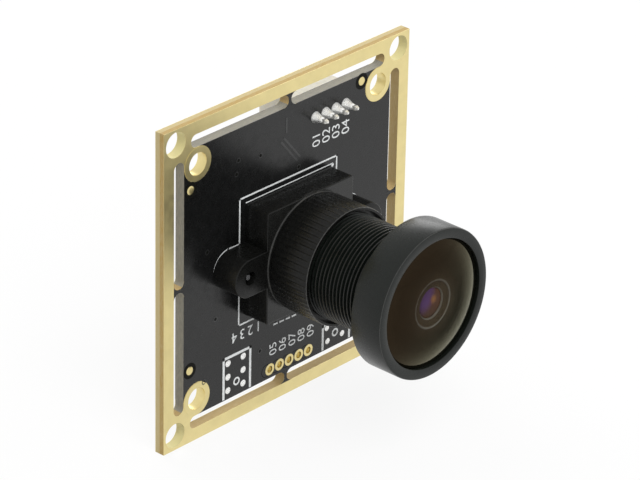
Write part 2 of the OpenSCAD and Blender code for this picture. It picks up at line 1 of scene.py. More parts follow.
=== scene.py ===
import math
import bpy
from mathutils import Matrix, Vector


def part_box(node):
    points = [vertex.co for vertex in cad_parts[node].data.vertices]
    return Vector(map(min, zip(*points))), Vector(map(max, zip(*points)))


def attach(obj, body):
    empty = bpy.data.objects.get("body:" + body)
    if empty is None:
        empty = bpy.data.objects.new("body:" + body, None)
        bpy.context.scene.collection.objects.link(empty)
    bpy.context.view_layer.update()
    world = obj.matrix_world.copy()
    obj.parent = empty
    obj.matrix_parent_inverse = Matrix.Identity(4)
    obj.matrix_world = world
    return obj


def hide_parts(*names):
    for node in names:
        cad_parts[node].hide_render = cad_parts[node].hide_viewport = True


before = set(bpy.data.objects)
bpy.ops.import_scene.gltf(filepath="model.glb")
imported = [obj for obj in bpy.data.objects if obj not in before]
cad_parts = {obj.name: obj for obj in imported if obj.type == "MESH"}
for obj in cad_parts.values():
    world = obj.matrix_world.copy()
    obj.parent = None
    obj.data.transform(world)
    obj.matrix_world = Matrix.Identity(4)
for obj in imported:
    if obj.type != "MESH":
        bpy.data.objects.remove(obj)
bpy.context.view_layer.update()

import types

import bpy
import bmesh
from mathutils import Matrix, Vector

bl_info = {
    "name": "Board camera",
    "version": (1, 0, 0),
    "blender": (4, 5, 0),
    "location": "View3D > Sidebar > Board camera",
    "description": "Dresses a square board camera with a wide-angle screw-in lens",
    "category": "Object",
}

MM = 0.001

# The materials by their short names, made when the script starts
FINISHES = {}


def length(name, description, mm, low=0.0, high=50.0):
    """A length property that defaults to so many millimetres."""
    return bpy.props.FloatProperty(
        name=name, description=description, default=mm * MM, min=low * MM, max=high * MM,
        subtype="DISTANCE", unit="LENGTH", precision=5,
    )


def tint(name, description, colour):
    """A colour property."""
    return bpy.props.FloatVectorProperty(
        name=name, description=description, default=colour, size=3, min=0, max=1, subtype="COLOR",
    )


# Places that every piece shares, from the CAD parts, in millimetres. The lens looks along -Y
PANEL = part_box("circuit_board")[1][0] / MM
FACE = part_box("circuit_board")[0][1] / MM
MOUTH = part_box("lens_holder")[0][1] / MM
BODY_FRONT, BODY_REAR = (corner[1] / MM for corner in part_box("lens_body"))


class BoardSizes(bpy.types.PropertyGroup):
    core: length("Inner board", "Half the side of the inner board", 16)
    slot: length("Slot", "Width of a snap slot", 1.5)
    tab: length("Snap tab", "Width of the tab at the middle of each side", 0.4)
    hole_at: length("Fixing hole place", "From the lens axis to a plated hole, along X and Z", 14)
    land: length("Corner land", "Radius of the bare gold around a plated hole", 2.02)
    mask: length("Mask", "Thickness of the solder mask", 0.03)
    mask_colour: tint("Mask colour", "Colour of the solder mask", (0.0060, 0.0062, 0.0062))
    gold_colour: tint("Gold colour", "Colour of the plating", (0.82, 0.70, 0.345))


class PrintSizes(bpy.types.PropertyGroup):
    thick: length("Thickness", "Thickness of the printed lines", 0.015)
    line: length("Line", "Width of a printed line", 0.2)
    heavy: length("Heavy line", "Width of a frame's line", 0.32)
    digits: length("Digits", "Size of the printed numbers", 1.75)
    track: length("Track", "Width of a copper track under the mask", 0.25)
    via: length("Via", "Radius of a via's ring", 0.32)
    mark: length("Mark", "Radius of a placing mark", 0.5)
    colour: tint("Print colour", "Colour of the printed lines", (0.74, 0.76, 0.76))


class HolderSizes(bpy.types.PropertyGroup):
    block: length("Block", "Half the side of the square block", 6.7)
    block_h: length("Block height", "Height of the block above the board", 3.35)
    ear_x: length("Ear place", "From the lens axis to a screw", 9.3)
    ear_r: length("Ear radius", "Radius of an ear's round end", 2.25)
    barrel: length("Barrel radius", "Radius of the barrel over its ribs", 6.75)
    ribs: bpy.props.IntProperty(name="Ribs", description="Ribs around the barrel", default=60)
    rib_depth: length("Rib depth", "Depth of the grooves between the ribs", 0.05)
    bore: length("Bore", "Radius of the thread bore", 6.03)
    colour: tint("Holder colour", "Colour of the moulded holder", (0.0055, 0.0056, 0.0052))


class LensSizes(bpy.types.PropertyGroup):
    head: length("Head radius", "Outer radius of the head", 8.5)
    head_h: length("Head length", "Length of the head", 4.05)
    core: length("Core radius", "Radius at the root of the thread", 5.73)
    crest: length("Crest radius", "Radius over the thread", 6)
    pitch: length("Pitch", "Pitch of the thread", 0.5)
    glass: length("Glass radius", "Radius of the front glass", 7.29)
    sunk: length("Glass rim place", "From the head's front back to the glass's rim", 0.4)
    edge: length("Glass edge", "Thickness of the front glass at its rim", 1.93)
    glass_curve: length("Glass curve", "Radius of the front surface", 15.5)
    shell: length("Glass thickness", "Thickness of the front glass under its dome", 1)
    lip: length("Lip radius", "Radius of the cone's mouth behind the front glass", 2.68)
    lip_at: length("Lip height", "From the board's back to the cone's mouth", 22.1)
    well_at: length("Well height", "From the board's back to the small glass's ring", 21.85)
    eye: length("Small glass", "Radius of the small glass in the cone", 1.72)
    colour: tint("Body colour", "Colour of the anodised body", (0.0052, 0.0070, 0.0056))


def in_mm(group):
    """A group's values by name, with its lengths in millimetres."""
    values = {key: getattr(group, key) for key in type(group).__annotations__}
    return types.SimpleNamespace(**{
        key: value / MM if isinstance(value, float) else value for key, value in values.items()
    })


# ---- Working as by hand ----

def deselect():
    if bpy.context.mode != "OBJECT":
        bpy.ops.object.mode_set(mode="OBJECT")
    bpy.ops.object.select_all(action="DESELECT")


def only(obj):
    deselect()
    obj.select_set(True)
    bpy.context.view_layer.objects.active = obj
    return obj


def edit(obj):
    only(obj)
    bpy.ops.object.mode_set(mode="EDIT")


def leave():
    bpy.ops.object.mode_set(mode="OBJECT")


def named(name):
    obj = bpy.context.object
    obj.name = obj.data.name = name
    return obj


def settle(obj):
    """Puts the object's place, turn and scale into its mesh."""
    only(obj)
    bpy.ops.object.transform_apply(location=True, rotation=True, scale=True)
    return obj


def modify(obj, kind, **settings):
    only(obj)
    mod = obj.modifiers.new(kind.title(), kind)
    for key, value in settings.items():
        setattr(mod, key, value)
    bpy.ops.object.modifier_apply(modifier=mod.name)
    return obj


def combine(obj, other, operation):
    modify(obj, "BOOLEAN", object=other, operation=operation, solver="EXACT")
    bpy.data.objects.remove(other)
    return obj


def joined(name, objs):
    deselect()
    for obj in objs:
        obj.select_set(True)
    bpy.context.view_layer.objects.active = objs[0]
    bpy.ops.object.join()
    return named(name)


def pick(test):
    """Selects the vertices of the mesh in edit mode that pass the test."""
    bm = bmesh.from_edit_mesh(bpy.context.edit_object.data)
    for vert in bm.verts:
        vert.select_set(bool(test(vert)))
    bm.select_flush_mode()
    bmesh.update_edit_mesh(bpy.context.edit_object.data)


def pick_edges(test):
    """Selects the edges in edit mode whose two ends pass the test."""
    bpy.ops.mesh.select_mode(type="EDGE")
    bm = bmesh.from_edit_mesh(bpy.context.edit_object.data)
    for edge in bm.edges:
        edge.select_set(False)
    for edge in bm.edges:
        if test(edge.verts[0].co, edge.verts[1].co):
            edge.select_set(True)
    bmesh.update_edit_mesh(bpy.context.edit_object.data)


def chosen():
    """The indices of the selected vertices of the mesh in edit mode."""
    bm = bmesh.from_edit_mesh(bpy.context.edit_object.data)
    return [vert.index for vert in bm.verts if vert.select]


def close_up(obj, merge=1e-6, smooth=30):
    """Merges what meets, turns the faces outwards and smooths all but sharp edges."""
    edit(obj)
    bpy.ops.mesh.select_all(action="SELECT")
    bpy.ops.mesh.remove_doubles(threshold=merge)
    bpy.ops.mesh.select_all(action="SELECT")
    bpy.ops.mesh.normals_make_consistent(inside=False)
    leave()
    if smooth:
        bpy.ops.object.shade_smooth_by_angle(angle=math.radians(smooth))
    return obj


def turned(name, profile, at=(0.0, 0.0), segments=128, smooth=30):
    """A turned piece: a ring drawn along Y and narrowed from one (radius, y) point to the next.

    Radii and heights are in millimetres, and a radius of 0 closes the end."""
    tiny = 1e-4
    points = [(max(r, tiny) * MM, y * MM) for r, y in profile]
    x, z = at[0] * MM, at[1] * MM
    r, y = points[0]
    deselect()
    bpy.ops.mesh.primitive_circle_add(
        vertices=segments, radius=r, location=(x, y, z), rotation=(math.pi / 2, 0, 0)
    )
    obj = named(name)
    bpy.ops.object.mode_set(mode="EDIT")
    bpy.ops.mesh.select_all(action="SELECT")
    for next_r, next_y in points[1:]:
        bpy.ops.mesh.extrude_region_move(TRANSFORM_OT_translate={"value": (0, next_y - y, 0)})
        if next_r != r:
            bpy.ops.transform.resize(
                value=(next_r / r, 1, next_r / r), center_override=(x, next_y, z)
            )
        r, y = next_r, next_y
    leave()
    settle(obj)
    return close_up(obj, smooth=smooth)


def box(name, low, high):
    """A box between two corners, in millimetres."""
    deselect()
    centre = [(a + b) / 2 * MM for a, b in zip(low, high)]
    size = [(b - a) * MM for a, b in zip(low, high)]
    bpy.ops.mesh.primitive_cube_add(size=1, location=centre, scale=size)
    return settle(named(name))


def drill(name, x, z, radius, low, high, segments=64):
    """A round bar along Y, in millimetres."""
    deselect()
    bpy.ops.mesh.primitive_cylinder_add(
        vertices=segments, radius=radius * MM, depth=(high - low) * MM,
        location=(x * MM, (low + high) / 2 * MM, z * MM), rotation=(math.pi / 2, 0, 0),
    )
    return settle(named(name))


def bevel_edges(obj, width, test, segments=3):
    """Rounds the edges whose two ends pass the test; the width is in millimetres."""
    edit(obj)
    pick_edges(test)
    bpy.ops.mesh.bevel(offset=width * MM, segments=segments, affect="EDGES")
    leave()
    return obj


def finish(obj, key, slot, body="root"):
    """Gives a piece its finish and its body; the slot is not used."""
    obj.data.materials.clear()
    obj.data.materials.append(FINISHES[key])
    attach(obj, body)
    return obj


def paint(obj, key, test):
    """Gives the faces that pass the test a second finish."""
    obj.data.materials.append(FINISHES[key])
    for face in obj.data.polygons:
        if test(face.normal, math.hypot(face.center.x, face.center.z), face.center):
            face.material_index = len(obj.data.materials) - 1


# ---- Finishes ----

class Finish:
    """A procedural material, built up from its Principled shader."""

    def __init__(self, name, colour, roughness, **sockets):
        self.material = bpy.data.materials.new(name)
        self.material.use_nodes = True
        self.tree = self.material.node_tree
        self.shader = self.tree.nodes["Principled BSDF"]
        self.shader.inputs["Base Color"].default_value = (*colour, 1)
        self.shader.inputs["Roughness"].default_value = roughness
        for key, value in sockets.items():
            self.shader.inputs[key.replace("_", " ")].default_value = value
        self.place = self.node("ShaderNodeTexCoord").outputs["Object"]
        self.height = None

    def node(self, kind, **settings):
        made = self.tree.nodes.new(kind)
        for key, value in settings.items():
            setattr(made, key, value)
        return made

    def link(self, a, b):
        self.tree.links.new(a, b)

    def noise(self, size, detail=3.0, stretch=(1, 1, 1)):
        """Noise whose grain is about so many millimetres across."""
        turn = self.node("ShaderNodeMapping")
        turn.inputs["Scale"].default_value = stretch
        self.link(self.place, turn.inputs["Vector"])
        made = self.node("ShaderNodeTexNoise")
        made.inputs["Scale"].default_value = 1 / (size * MM)
        made.inputs["Detail"].default_value = detail
        self.link(turn.outputs["Vector"], made.inputs["Vector"])
        return made.outputs["Fac"]

    def maths(self, operation, a, b=0.0):
        made = self.node("ShaderNodeMath", operation=operation)
        for index, value in enumerate((a, b)):
            if isinstance(value, bpy.types.NodeSocket):
                self.link(value, made.inputs[index])
            else:
                made.inputs[index].default_value = value
        return made.outputs[0]

    def axes(self):
        """The three object coordinates, in metres."""
        made = self.node("ShaderNodeSeparateXYZ")
        self.link(self.place, made.inputs[0])
        return made.outputs[0], made.outputs[1], made.outputs[2]

    def distance(self, x=0.0, z=0.0):
        """How far from the line along Y through a point in millimetres, in metres."""
        squares = []
        for value, middle in zip(self.axes()[::2], (x, z)):
            away = self.maths("SUBTRACT", value, middle * MM)
            squares.append(self.maths("MULTIPLY", away, away))
        return self.maths("SQRT", self.maths("ADD", *squares))

    def beyond(self, value, mm):
        """1 where the value is more than so many millimetres, 0 elsewhere."""
        return self.maths("GREATER_THAN", value, mm * MM)

    def ramp(self, value, low, high, start=0.35, end=0.65):
        made = self.node("ShaderNodeMapRange")
        self.link(value, made.inputs["Value"])
        for key, number in zip(("From Min", "From Max", "To Min", "To Max"), (start, end, low, high)):
            made.inputs[key].default_value = number
        return made.outputs["Result"]

    def mix(self, factor, a, b):
        """Mixes two colours, each a socket or a plain colour."""
        made = self.node("ShaderNodeMix", data_type="RGBA")
        self.link(factor, made.inputs["Factor"])
        for index, value in ((6, a), (7, b)):
            if isinstance(value, bpy.types.NodeSocket):
                self.link(value, made.inputs[index])
            else:
                made.inputs[index].default_value = (*value, 1)
        return made.outputs[2]

    def colour(self, socket):
        self.link(socket, self.shader.inputs["Base Color"])
        return self

    def roughness(self, socket):
        self.link(socket, self.shader.inputs["Roughness"])
        return self

    def bump(self, socket, depth):
        """Adds relief of about so many millimetres."""
        made = self.node("ShaderNodeBump")
        made.inputs["Strength"].default_value = 1
        made.inputs["Distance"].default_value = depth * MM
        self.link(socket, made.inputs["Height"])
        if self.height is not None:
            self.link(self.height, made.inputs["Normal"])
        self.height = made.outputs["Normal"]
        self.link(self.height, self.shader.inputs["Normal"])
        return self


def varied(name, colour, roughness, spread=0.12, grain=0.4, relief=0.0, relief_grain=0.1,
           rough_spread=0.06, **sockets):
    """A finish whose colour and roughness drift a little over the surface."""
    made = Finish(name, colour, roughness, **sockets)
    drift = made.noise(grain)
    made.colour(made.mix(
        made.ramp(drift, 0, 1),
        tuple(c * (1 - spread) for c in colour), tuple(min(1, c * (1 + spread)) for c in colour),
    ))
    wear = made.noise(grain * 0.6)
    made.roughness(made.ramp(wear, roughness - rough_spread, roughness + rough_spread))
    if relief:
        made.bump(made.noise(relief_grain, 2), relief)
    return made


def laminate(core_side):
    """Cut glass laminate: each wall of the board has its own shade, in fine layers."""
    outer, slot, inner, layer = PANEL - 0.1, core_side + 0.3, core_side - 0.6, FACE / 2 - 0.02
    made = Finish("laminate_edge", (0.5, 0.4, 0.2), 0.6, Specular_IOR_Level=0.2)
    x, y, z = made.axes()
    x, z = made.maths("ABSOLUTE", x), made.maths("ABSOLUTE", z)
    far, near = made.maths("MAXIMUM", x, z), made.maths("MINIMUM", x, z)
    strips = made.mix(made.beyond(y, layer), (0.43, 0.28, 0.075), (0.54, 0.43, 0.20))
    rail = made.mix(made.beyond(far, outer), (0.42, 0.29, 0.11), strips)
    core = made.mix(made.beyond(far, slot), (0.22, 0.22, 0.20), rail)
    within = made.maths("SUBTRACT", 1.0, made.beyond(far, outer))
    corner = made.maths("MULTIPLY", made.beyond(near, inner), within)
    shade = made.mix(corner, core, (0.66, 0.60, 0.30))
    layers = made.ramp(made.noise(0.6, 3, (1, 14, 1)), 0.0, 0.3)
    made.colour(made.mix(layers, shade, (0.62, 0.56, 0.40)))
    made.bump(made.noise(0.08, 2), 0.008)
    return made


def glass_with_painted_rim_reflection(radius):
    """The front glass: its coating's weak amber reflection, with a painted reflection that grows denser
    towards the rim.
    """
    made = Finish("glass_with_painted_rim_reflection", (0.0255, 0.0178, 0.0105), 0.02, Metallic=1.0)
    made.shader.inputs["Specular Tint"].default_value = (1.0, 1.0, 0.86, 1)
    # Painted reflection: the distance from the axis sets the reflective share, which rises towards the
    # rim.
    painted_reflection_cover = made.ramp(made.distance(), 0.26, 0.96, radius * 0.38, radius * 0.92)
    made.link(painted_reflection_cover, made.shader.inputs["Alpha"])
    return made


def coated_eye():
    """The small glass deep in the lens, its coating's reflections painted into its colour: a painted
    violet reflection on its upper left, painted amber towards the middle and lower down, and a painted
    orange glint.
    """
    made = Finish("coated_eye", (0.03, 0.02, 0.03), 0.12, Specular_IOR_Level=0.3)
    x, y, z = made.axes()
    across = made.maths("ADD", x, made.maths("MULTIPLY", z, -0.45))
    # Painted reflections: violet to the upper left, amber to the right and lower side.
    turn = made.ramp(across, 0, 1, -0.8 * MM, 0.25 * MM)
    shade = made.mix(turn, (0.17, 0.075, 0.27), (0.16, 0.055, 0.022))
    low = made.ramp(z, 1, 0, -1.2 * MM, 0.1 * MM)
    shade = made.mix(low, shade, (0.12, 0.048, 0.022))
    # A painted orange glint just right of and above the middle.
    painted_glint = made.ramp(made.distance(0.28, 0.42), 1, 0, 0.1 * MM, 0.6 * MM)
    made.colour(made.mix(painted_glint, shade, (0.50, 0.21, 0.06)))
    return made


def make_finishes():
    board = bpy.context.scene.board_sizes
    printed = bpy.context.scene.print_sizes
    holder = bpy.context.scene.holder_sizes
    lens = bpy.context.scene.lens_sizes
    made = {
        "mask": varied("solder_mask", tuple(board.mask_colour), 0.26, 0.15, 1.2, 0.0008, 0.25,
                       rough_spread=0.04, Specular_IOR_Level=0.38),
        "track": varied("masked_track", tuple(2.2 * c for c in board.mask_colour), 0.3, 0.1, 1.0,
                        Specular_IOR_Level=0.6),
        # Bare laminate for the mark rings and round the signal holes; in the vias the same dark is
        # painted shade for the holes.
        "bare": varied("bare_laminate_and_hole_shade", (0.004, 0.004, 0.003), 0.6, 0.1, 0.5, Specular_IOR_Level=0.1),
        "gold": varied("gold_plate", tuple(board.gold_colour), 0.42, 0.03, 1.5, 0.0006, 0.1,
                       rough_spread=0.03, Metallic=1.0),
        "print": varied("white_print", tuple(printed.colour), 0.6, 0.06, 0.3, 0.002, 0.05),
        "laminate": laminate(board.core / MM),
        "tin": varied("tin", (0.93, 0.93, 0.91), 0.3, 0.03, 0.3, 0.004, 0.2, Metallic=0.6),
        "pin": varied("plated_pin", (0.90, 0.89, 0.85), 0.25, 0.03, 0.3, Metallic=0.7),
        "holder": varied("moulded_black", tuple(holder.colour), 0.3, 0.2, 0.5, 0.001, 0.06,
                         Specular_IOR_Level=0.22),
        # Glossier black for the block's front face, with its colour painted lighter: painted light, 1.8
        # times the holder's colour.
        "holder_face_painted_lighter": varied("polished_black_painted_lighter", tuple(1.8 * c for c in holder.colour), 0.26, 0.2, 0.5,
                              0.0006, 0.2, Specular_IOR_Level=0.42),
        "screw": varied("plated_screw", (0.62, 0.62, 0.64), 0.28, 0.05, 0.3, Metallic=1.0),
        "body": varied("black_anodised", tuple(lens.colour), 0.3, 0.1, 0.4, 0.0006, 0.03,
                       rough_spread=0.03, Specular_IOR_Level=0.28),
        "inside": varied("matte_inside", (0.002, 0.002, 0.002), 0.5, 0.2, 0.5, Specular_IOR_Level=0.1),
        # Painted reflection: the cone's black is lifted to about the front glass's sheen, which the
        # glass's clear middle leaves out.
        "baffle_with_painted_sheen": varied("dark_cone_with_painted_sheen", (0.078, 0.056, 0.032), 0.5, 0.1, 0.8, Specular_IOR_Level=0.15),
        # Painted highlight: the light ring on the cone's lip and on the small glass's ring.
        "lip": varied("lip_painted_highlight", (0.22, 0.205, 0.165), 0.35, 0.1, 0.3),
        # Painted highlight: the thread's crests a little lighter and uneven, for the light along each
        # turn.
        "crest": varied("thread_crest_painted_highlight", (0.008, 0.0082, 0.0076), 0.4, 0.5, 1.2, Specular_IOR_Level=0.3),
        # Painted highlight: a lighter black on edges where a line of light falls, at the barrel's foot
        # and mouth and the head's front chamfer.
        "edge": varied("edge_painted_highlight", (0.030, 0.030, 0.028), 0.35, 0.2, 0.3),
        "eye": coated_eye(),
        "seal": varied("black_rubber", (0.003, 0.003, 0.003), 0.6, 0.2, 0.4, Specular_IOR_Level=0.1),
        "shell": varied("natural_nylon", (0.80, 0.75, 0.62), 0.42, 0.05, 0.8, 0.004, 0.2,
                        Subsurface_Weight=0.1),
        "chip": varied("moulded_chip", (0.020, 0.020, 0.021), 0.55, 0.15, 0.4, 0.004, 0.06),
        "laser": varied("laser_mark", (0.11, 0.11, 0.105), 0.6, 0.15, 0.3),
        "can": varied("brushed_lid", (0.66, 0.66, 0.66), 0.3, 0.05, 0.3, Metallic=1.0),
        "base": varied("ceramic_base", (0.50, 0.45, 0.36), 0.5, 0.1, 0.3),
        "ceramic": varied("capacitor_ceramic", (0.40, 0.28, 0.17), 0.45, 0.12, 0.3, 0.003, 0.08),
        "ferrite": varied("ferrite", (0.045, 0.046, 0.05), 0.5, 0.15, 0.4, 0.006, 0.1),
        "resistor": varied("resistor_glaze", (0.015, 0.015, 0.016), 0.2, 0.1, 0.3),
        "sensor": varied("sensor_package", (0.03, 0.035, 0.04), 0.4, 0.1, 0.3),
    }
    for key, value in made.items():
        FINISHES[key] = value.material
    FINISHES["glass"] = glass_with_painted_rim_reflection(lens.glass).material
    for key, colour, coat in (
        ("inner_glass", (0.97, 0.97, 1.0), (0.75, 0.35, 0.9)),
        ("filter", (0.75, 0.92, 0.90), (0.9, 0.4, 0.3)),
        ("sensor_glass", (0.9, 0.97, 0.95), (1, 1, 1)),
    ):
        clear = Finish("coated_" + key, colour, 0.0, Transmission_Weight=1.0, IOR=1.5)
        clear.shader.inputs["Specular Tint"].default_value = (*coat, 1)
        dust = clear.noise(0.5)
        clear.roughness(clear.ramp(dust, 0.0, 0.02))
        FINISHES[key] = clear.material


def dress(node, key):
    """Gives a carried-over CAD node its finish."""
    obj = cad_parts[node]
    obj.data.materials.clear()
    obj.data.materials.append(FINISHES[key])
    return obj


# ---- Board ----

def copied(node, shift=0.0):
    """A merged copy of a CAD node, moved by so many millimetres along Y."""
    only(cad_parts[node])
    bpy.ops.object.duplicate()
    obj = bpy.context.object
    for key in [k for k in obj.keys() if k.startswith("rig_")]:
        del obj[key]
    world = obj.matrix_world.copy()
    obj.parent = None
    obj.matrix_world = world
    obj.location.y += shift * MM
    settle(obj)
    return close_up(obj, 1e-6, 0)


def solids(node):
    """The lowest and highest corners, in millimetres, of each separate solid in a CAD node."""
    mesh = bmesh.new()
    mesh.from_mesh(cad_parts[node].data)
    bmesh.ops.remove_doubles(mesh, verts=mesh.verts, dist=1e-7)
    seen, found = set(), []
    for start in mesh.verts:
        if start in seen:
            continue
        seen.add(start)
        todo, group = [start], []
        while todo:
            vert = todo.pop()
            group.append(vert.co / MM)
            for edge in vert.link_edges:
                other = edge.other_vert(vert)
                if other not in seen:
                    seen.add(other)
                    todo.append(other)
        found.append([[end(co[axis] for co in group) for axis in range(3)] for end in (min, max)])
    mesh.free()
    return found


def board_layer(name, low, high, shapes, cuts):
    """A thin sheet on a face of the board, with the board's own outline and holes.

    The sheet is what the shapes cover, less the cuts."""
    # The board's copy is moved out, to reach this far past the sheet
    past = 0.2
    shift = high + past if high > 0 else low - past - FACE
    sheet = shapes[0]
    for other in shapes[1:]:
        combine(sheet, other, "UNION")
    for other in cuts:
        combine(sheet, other, "DIFFERENCE")
    combine(sheet, copied("circuit_board", shift), "INTERSECT")
    sheet.name = sheet.data.name = name
    return close_up(sheet, 1e-7, 0)


class CAMERA_OT_board(bpy.types.Operator):
    """Lay the gold and the solder mask on both faces of the board"""

    bl_idname = "board_camera.board"
    bl_label = "Board layers"

    def execute(self, context):
        s = in_mm(context.scene.board_sizes)
        s.reach = s.core + s.slot
        s.half = s.tab / 2 + 0.02
        for side, face, way in (("front", FACE, -1), ("back", 0.0, 1)):
            self.mask(s, side, *sorted((face, face + way * s.mask)))
            self.gold(s, side, *sorted((face, face + way * s.mask * 0.8)))
        self.fillets(s)
        dress("circuit_board", "laminate")
        dress("mounting_rings", "gold")
        dress("signal_pads", "gold")
        return {"FINISHED"}

    def bridges(self, s, low, high):
        """The strips over the snap tabs."""
        return [
            box("bridge", (-s.half, low, -s.reach), (s.half, high, s.reach)),
            box("bridge", (-s.reach, low, -s.half), (s.reach, high, s.half)),
        ]

    def corners(self, s, low, high):
        """At each plated hole, a round land and the square from its middle past the corner."""
        shapes = []
        for sx in (-1, 1):
            for sz in (-1, 1):
                shapes.append(drill("land", sx * s.hole_at, sz * s.hole_at, s.land, low, high, 96))
                x, z = (sorted((way * s.hole_at, way * (s.core + 1))) for way in (sx, sz))
                shapes.append(box("corner", (x[0], low, z[0]), (x[1], high, z[1])))
        return shapes

    def mask(self, s, side, low, high):
        field = box("field", (-s.core, low, -s.core), (s.core, high, s.core))
        shapes = [field, *self.bridges(s, low, high)]
        mask = board_layer("mask_" + side, low, high, shapes, self.corners(s, low - 1, high + 1))
        finish(mask, "mask", "board")

    def gold(self, s, side, low, high):
        wide = PANEL + 1
        field = box("field", (-wide, low, -wide), (wide, high, wide))
        inner = box("inner", (-s.core, low - 1, -s.core), (s.core, high + 1, s.core))
        for keep in self.corners(s, low - 2, high + 2):
            combine(inner, keep, "DIFFERENCE")
        cuts = [inner, *self.bridges(s, low - 1, high + 1)]
        finish(board_layer("gold_" + side, low, high, [field], cuts), "gold", "gold")

    def fillets(self, s):
        """Round the slots' ends at the snap tabs, as the cutter leaves them."""
        half, radius, middle = s.tab / 2, s.slot / 2, s.core + s.slot / 2
        low, high = FACE - s.mask, s.mask
        pieces = []
        for side in (-1, 1):
            for way in (-1, 1):
                end = way * (half + radius)
                x, z = sorted((way * half, end)), sorted((side * s.core, side * s.reach))
                for a, b, at in ((x, z, (end, side * middle)), (z, x, (side * middle, end))):
                    piece = box("tab_fillets", (a[0], low, b[0]), (a[1], high, b[1]))
                    combine(piece, drill("cut", *at, radius, low - 1, high + 1, 48), "DIFFERENCE")
                    pieces.append(piece)
        piece = close_up(joined("tab_fillets", pieces), 1e-8, 20)
        finish(piece, "mask", "board")
        paint(piece, "laminate", lambda normal, radius, at: abs(normal.y) < 0.5)


# ---- Print, marks and tracks ----

# Directions of a number's line and of its upper side, as (x, z)
UPWARDS = (0, 1), (-1, 0)
TURNED = (-1, 0), (0, -1)
FROM_BEHIND = (-1, 0), (0, 1)

# Places on the front, as (x, z) in millimetres
PLACING_MARKS = ((-15.06, 11.27), (11.34, 15.20), (-15.09, -10.18))
SMALL_PADS = (
    (0.4, [(x, z) for x in (-9.17, -6.8) for z in (-11.6, -13.27, -14.93)]),
    (0.36, [(6.6, -13.29), (6.75, -14.99), (9.13, -14.90), (9.13, -13.3)]),
)
# Each small frame's two sides and its upper end
SMALL_FRAMES = ((-9.85, -5.7, -10.9), (5.95, 10.3, -12.9))
SMALL_RINGS = ((-7.82, -14.28), (7.95, -14.32))
# Along X, the numbers by the header's pins and by the signal holes
PIN_NUMBERS = (4.3, 5.85, 7.4, 8.95)
HOLE_NUMBERS = (-2.05, -0.55, 1.0, 2.45, 3.95)
SIGNAL_HOLES = [((i - 2) * 1.54, -14.9) for i in range(5)]
FRONT_VIAS = ((-7.87, 12.28), (-8.15, 10.74), (-4.49, 11.71), (1.5, 8.31), (-12.5, 3.1), (-11.2, -5.4),
              (12.6, -4.2), (-12.9, -12.4), (-4.2, -12.0))

# Places on the back
BACK_VIAS = ((-11.4, 13.6), (-12.2, 2.2), (-9.4, 4.6), (-4.6, 9.6), (-4.6, 12.9), (11.6, 11.4),
             (10.4, 4.9), (4.1, -6.2), (12.6, -9.6), (-10.4, -4.6), (-4.9, -12.6), (0.2, -11.6),
             (0.65, -11.6))
BACK_NUMBERS = (("21", -2.6, -5.2), ("22", -6.2, 5.5), ("23", 8.9, -10.6))


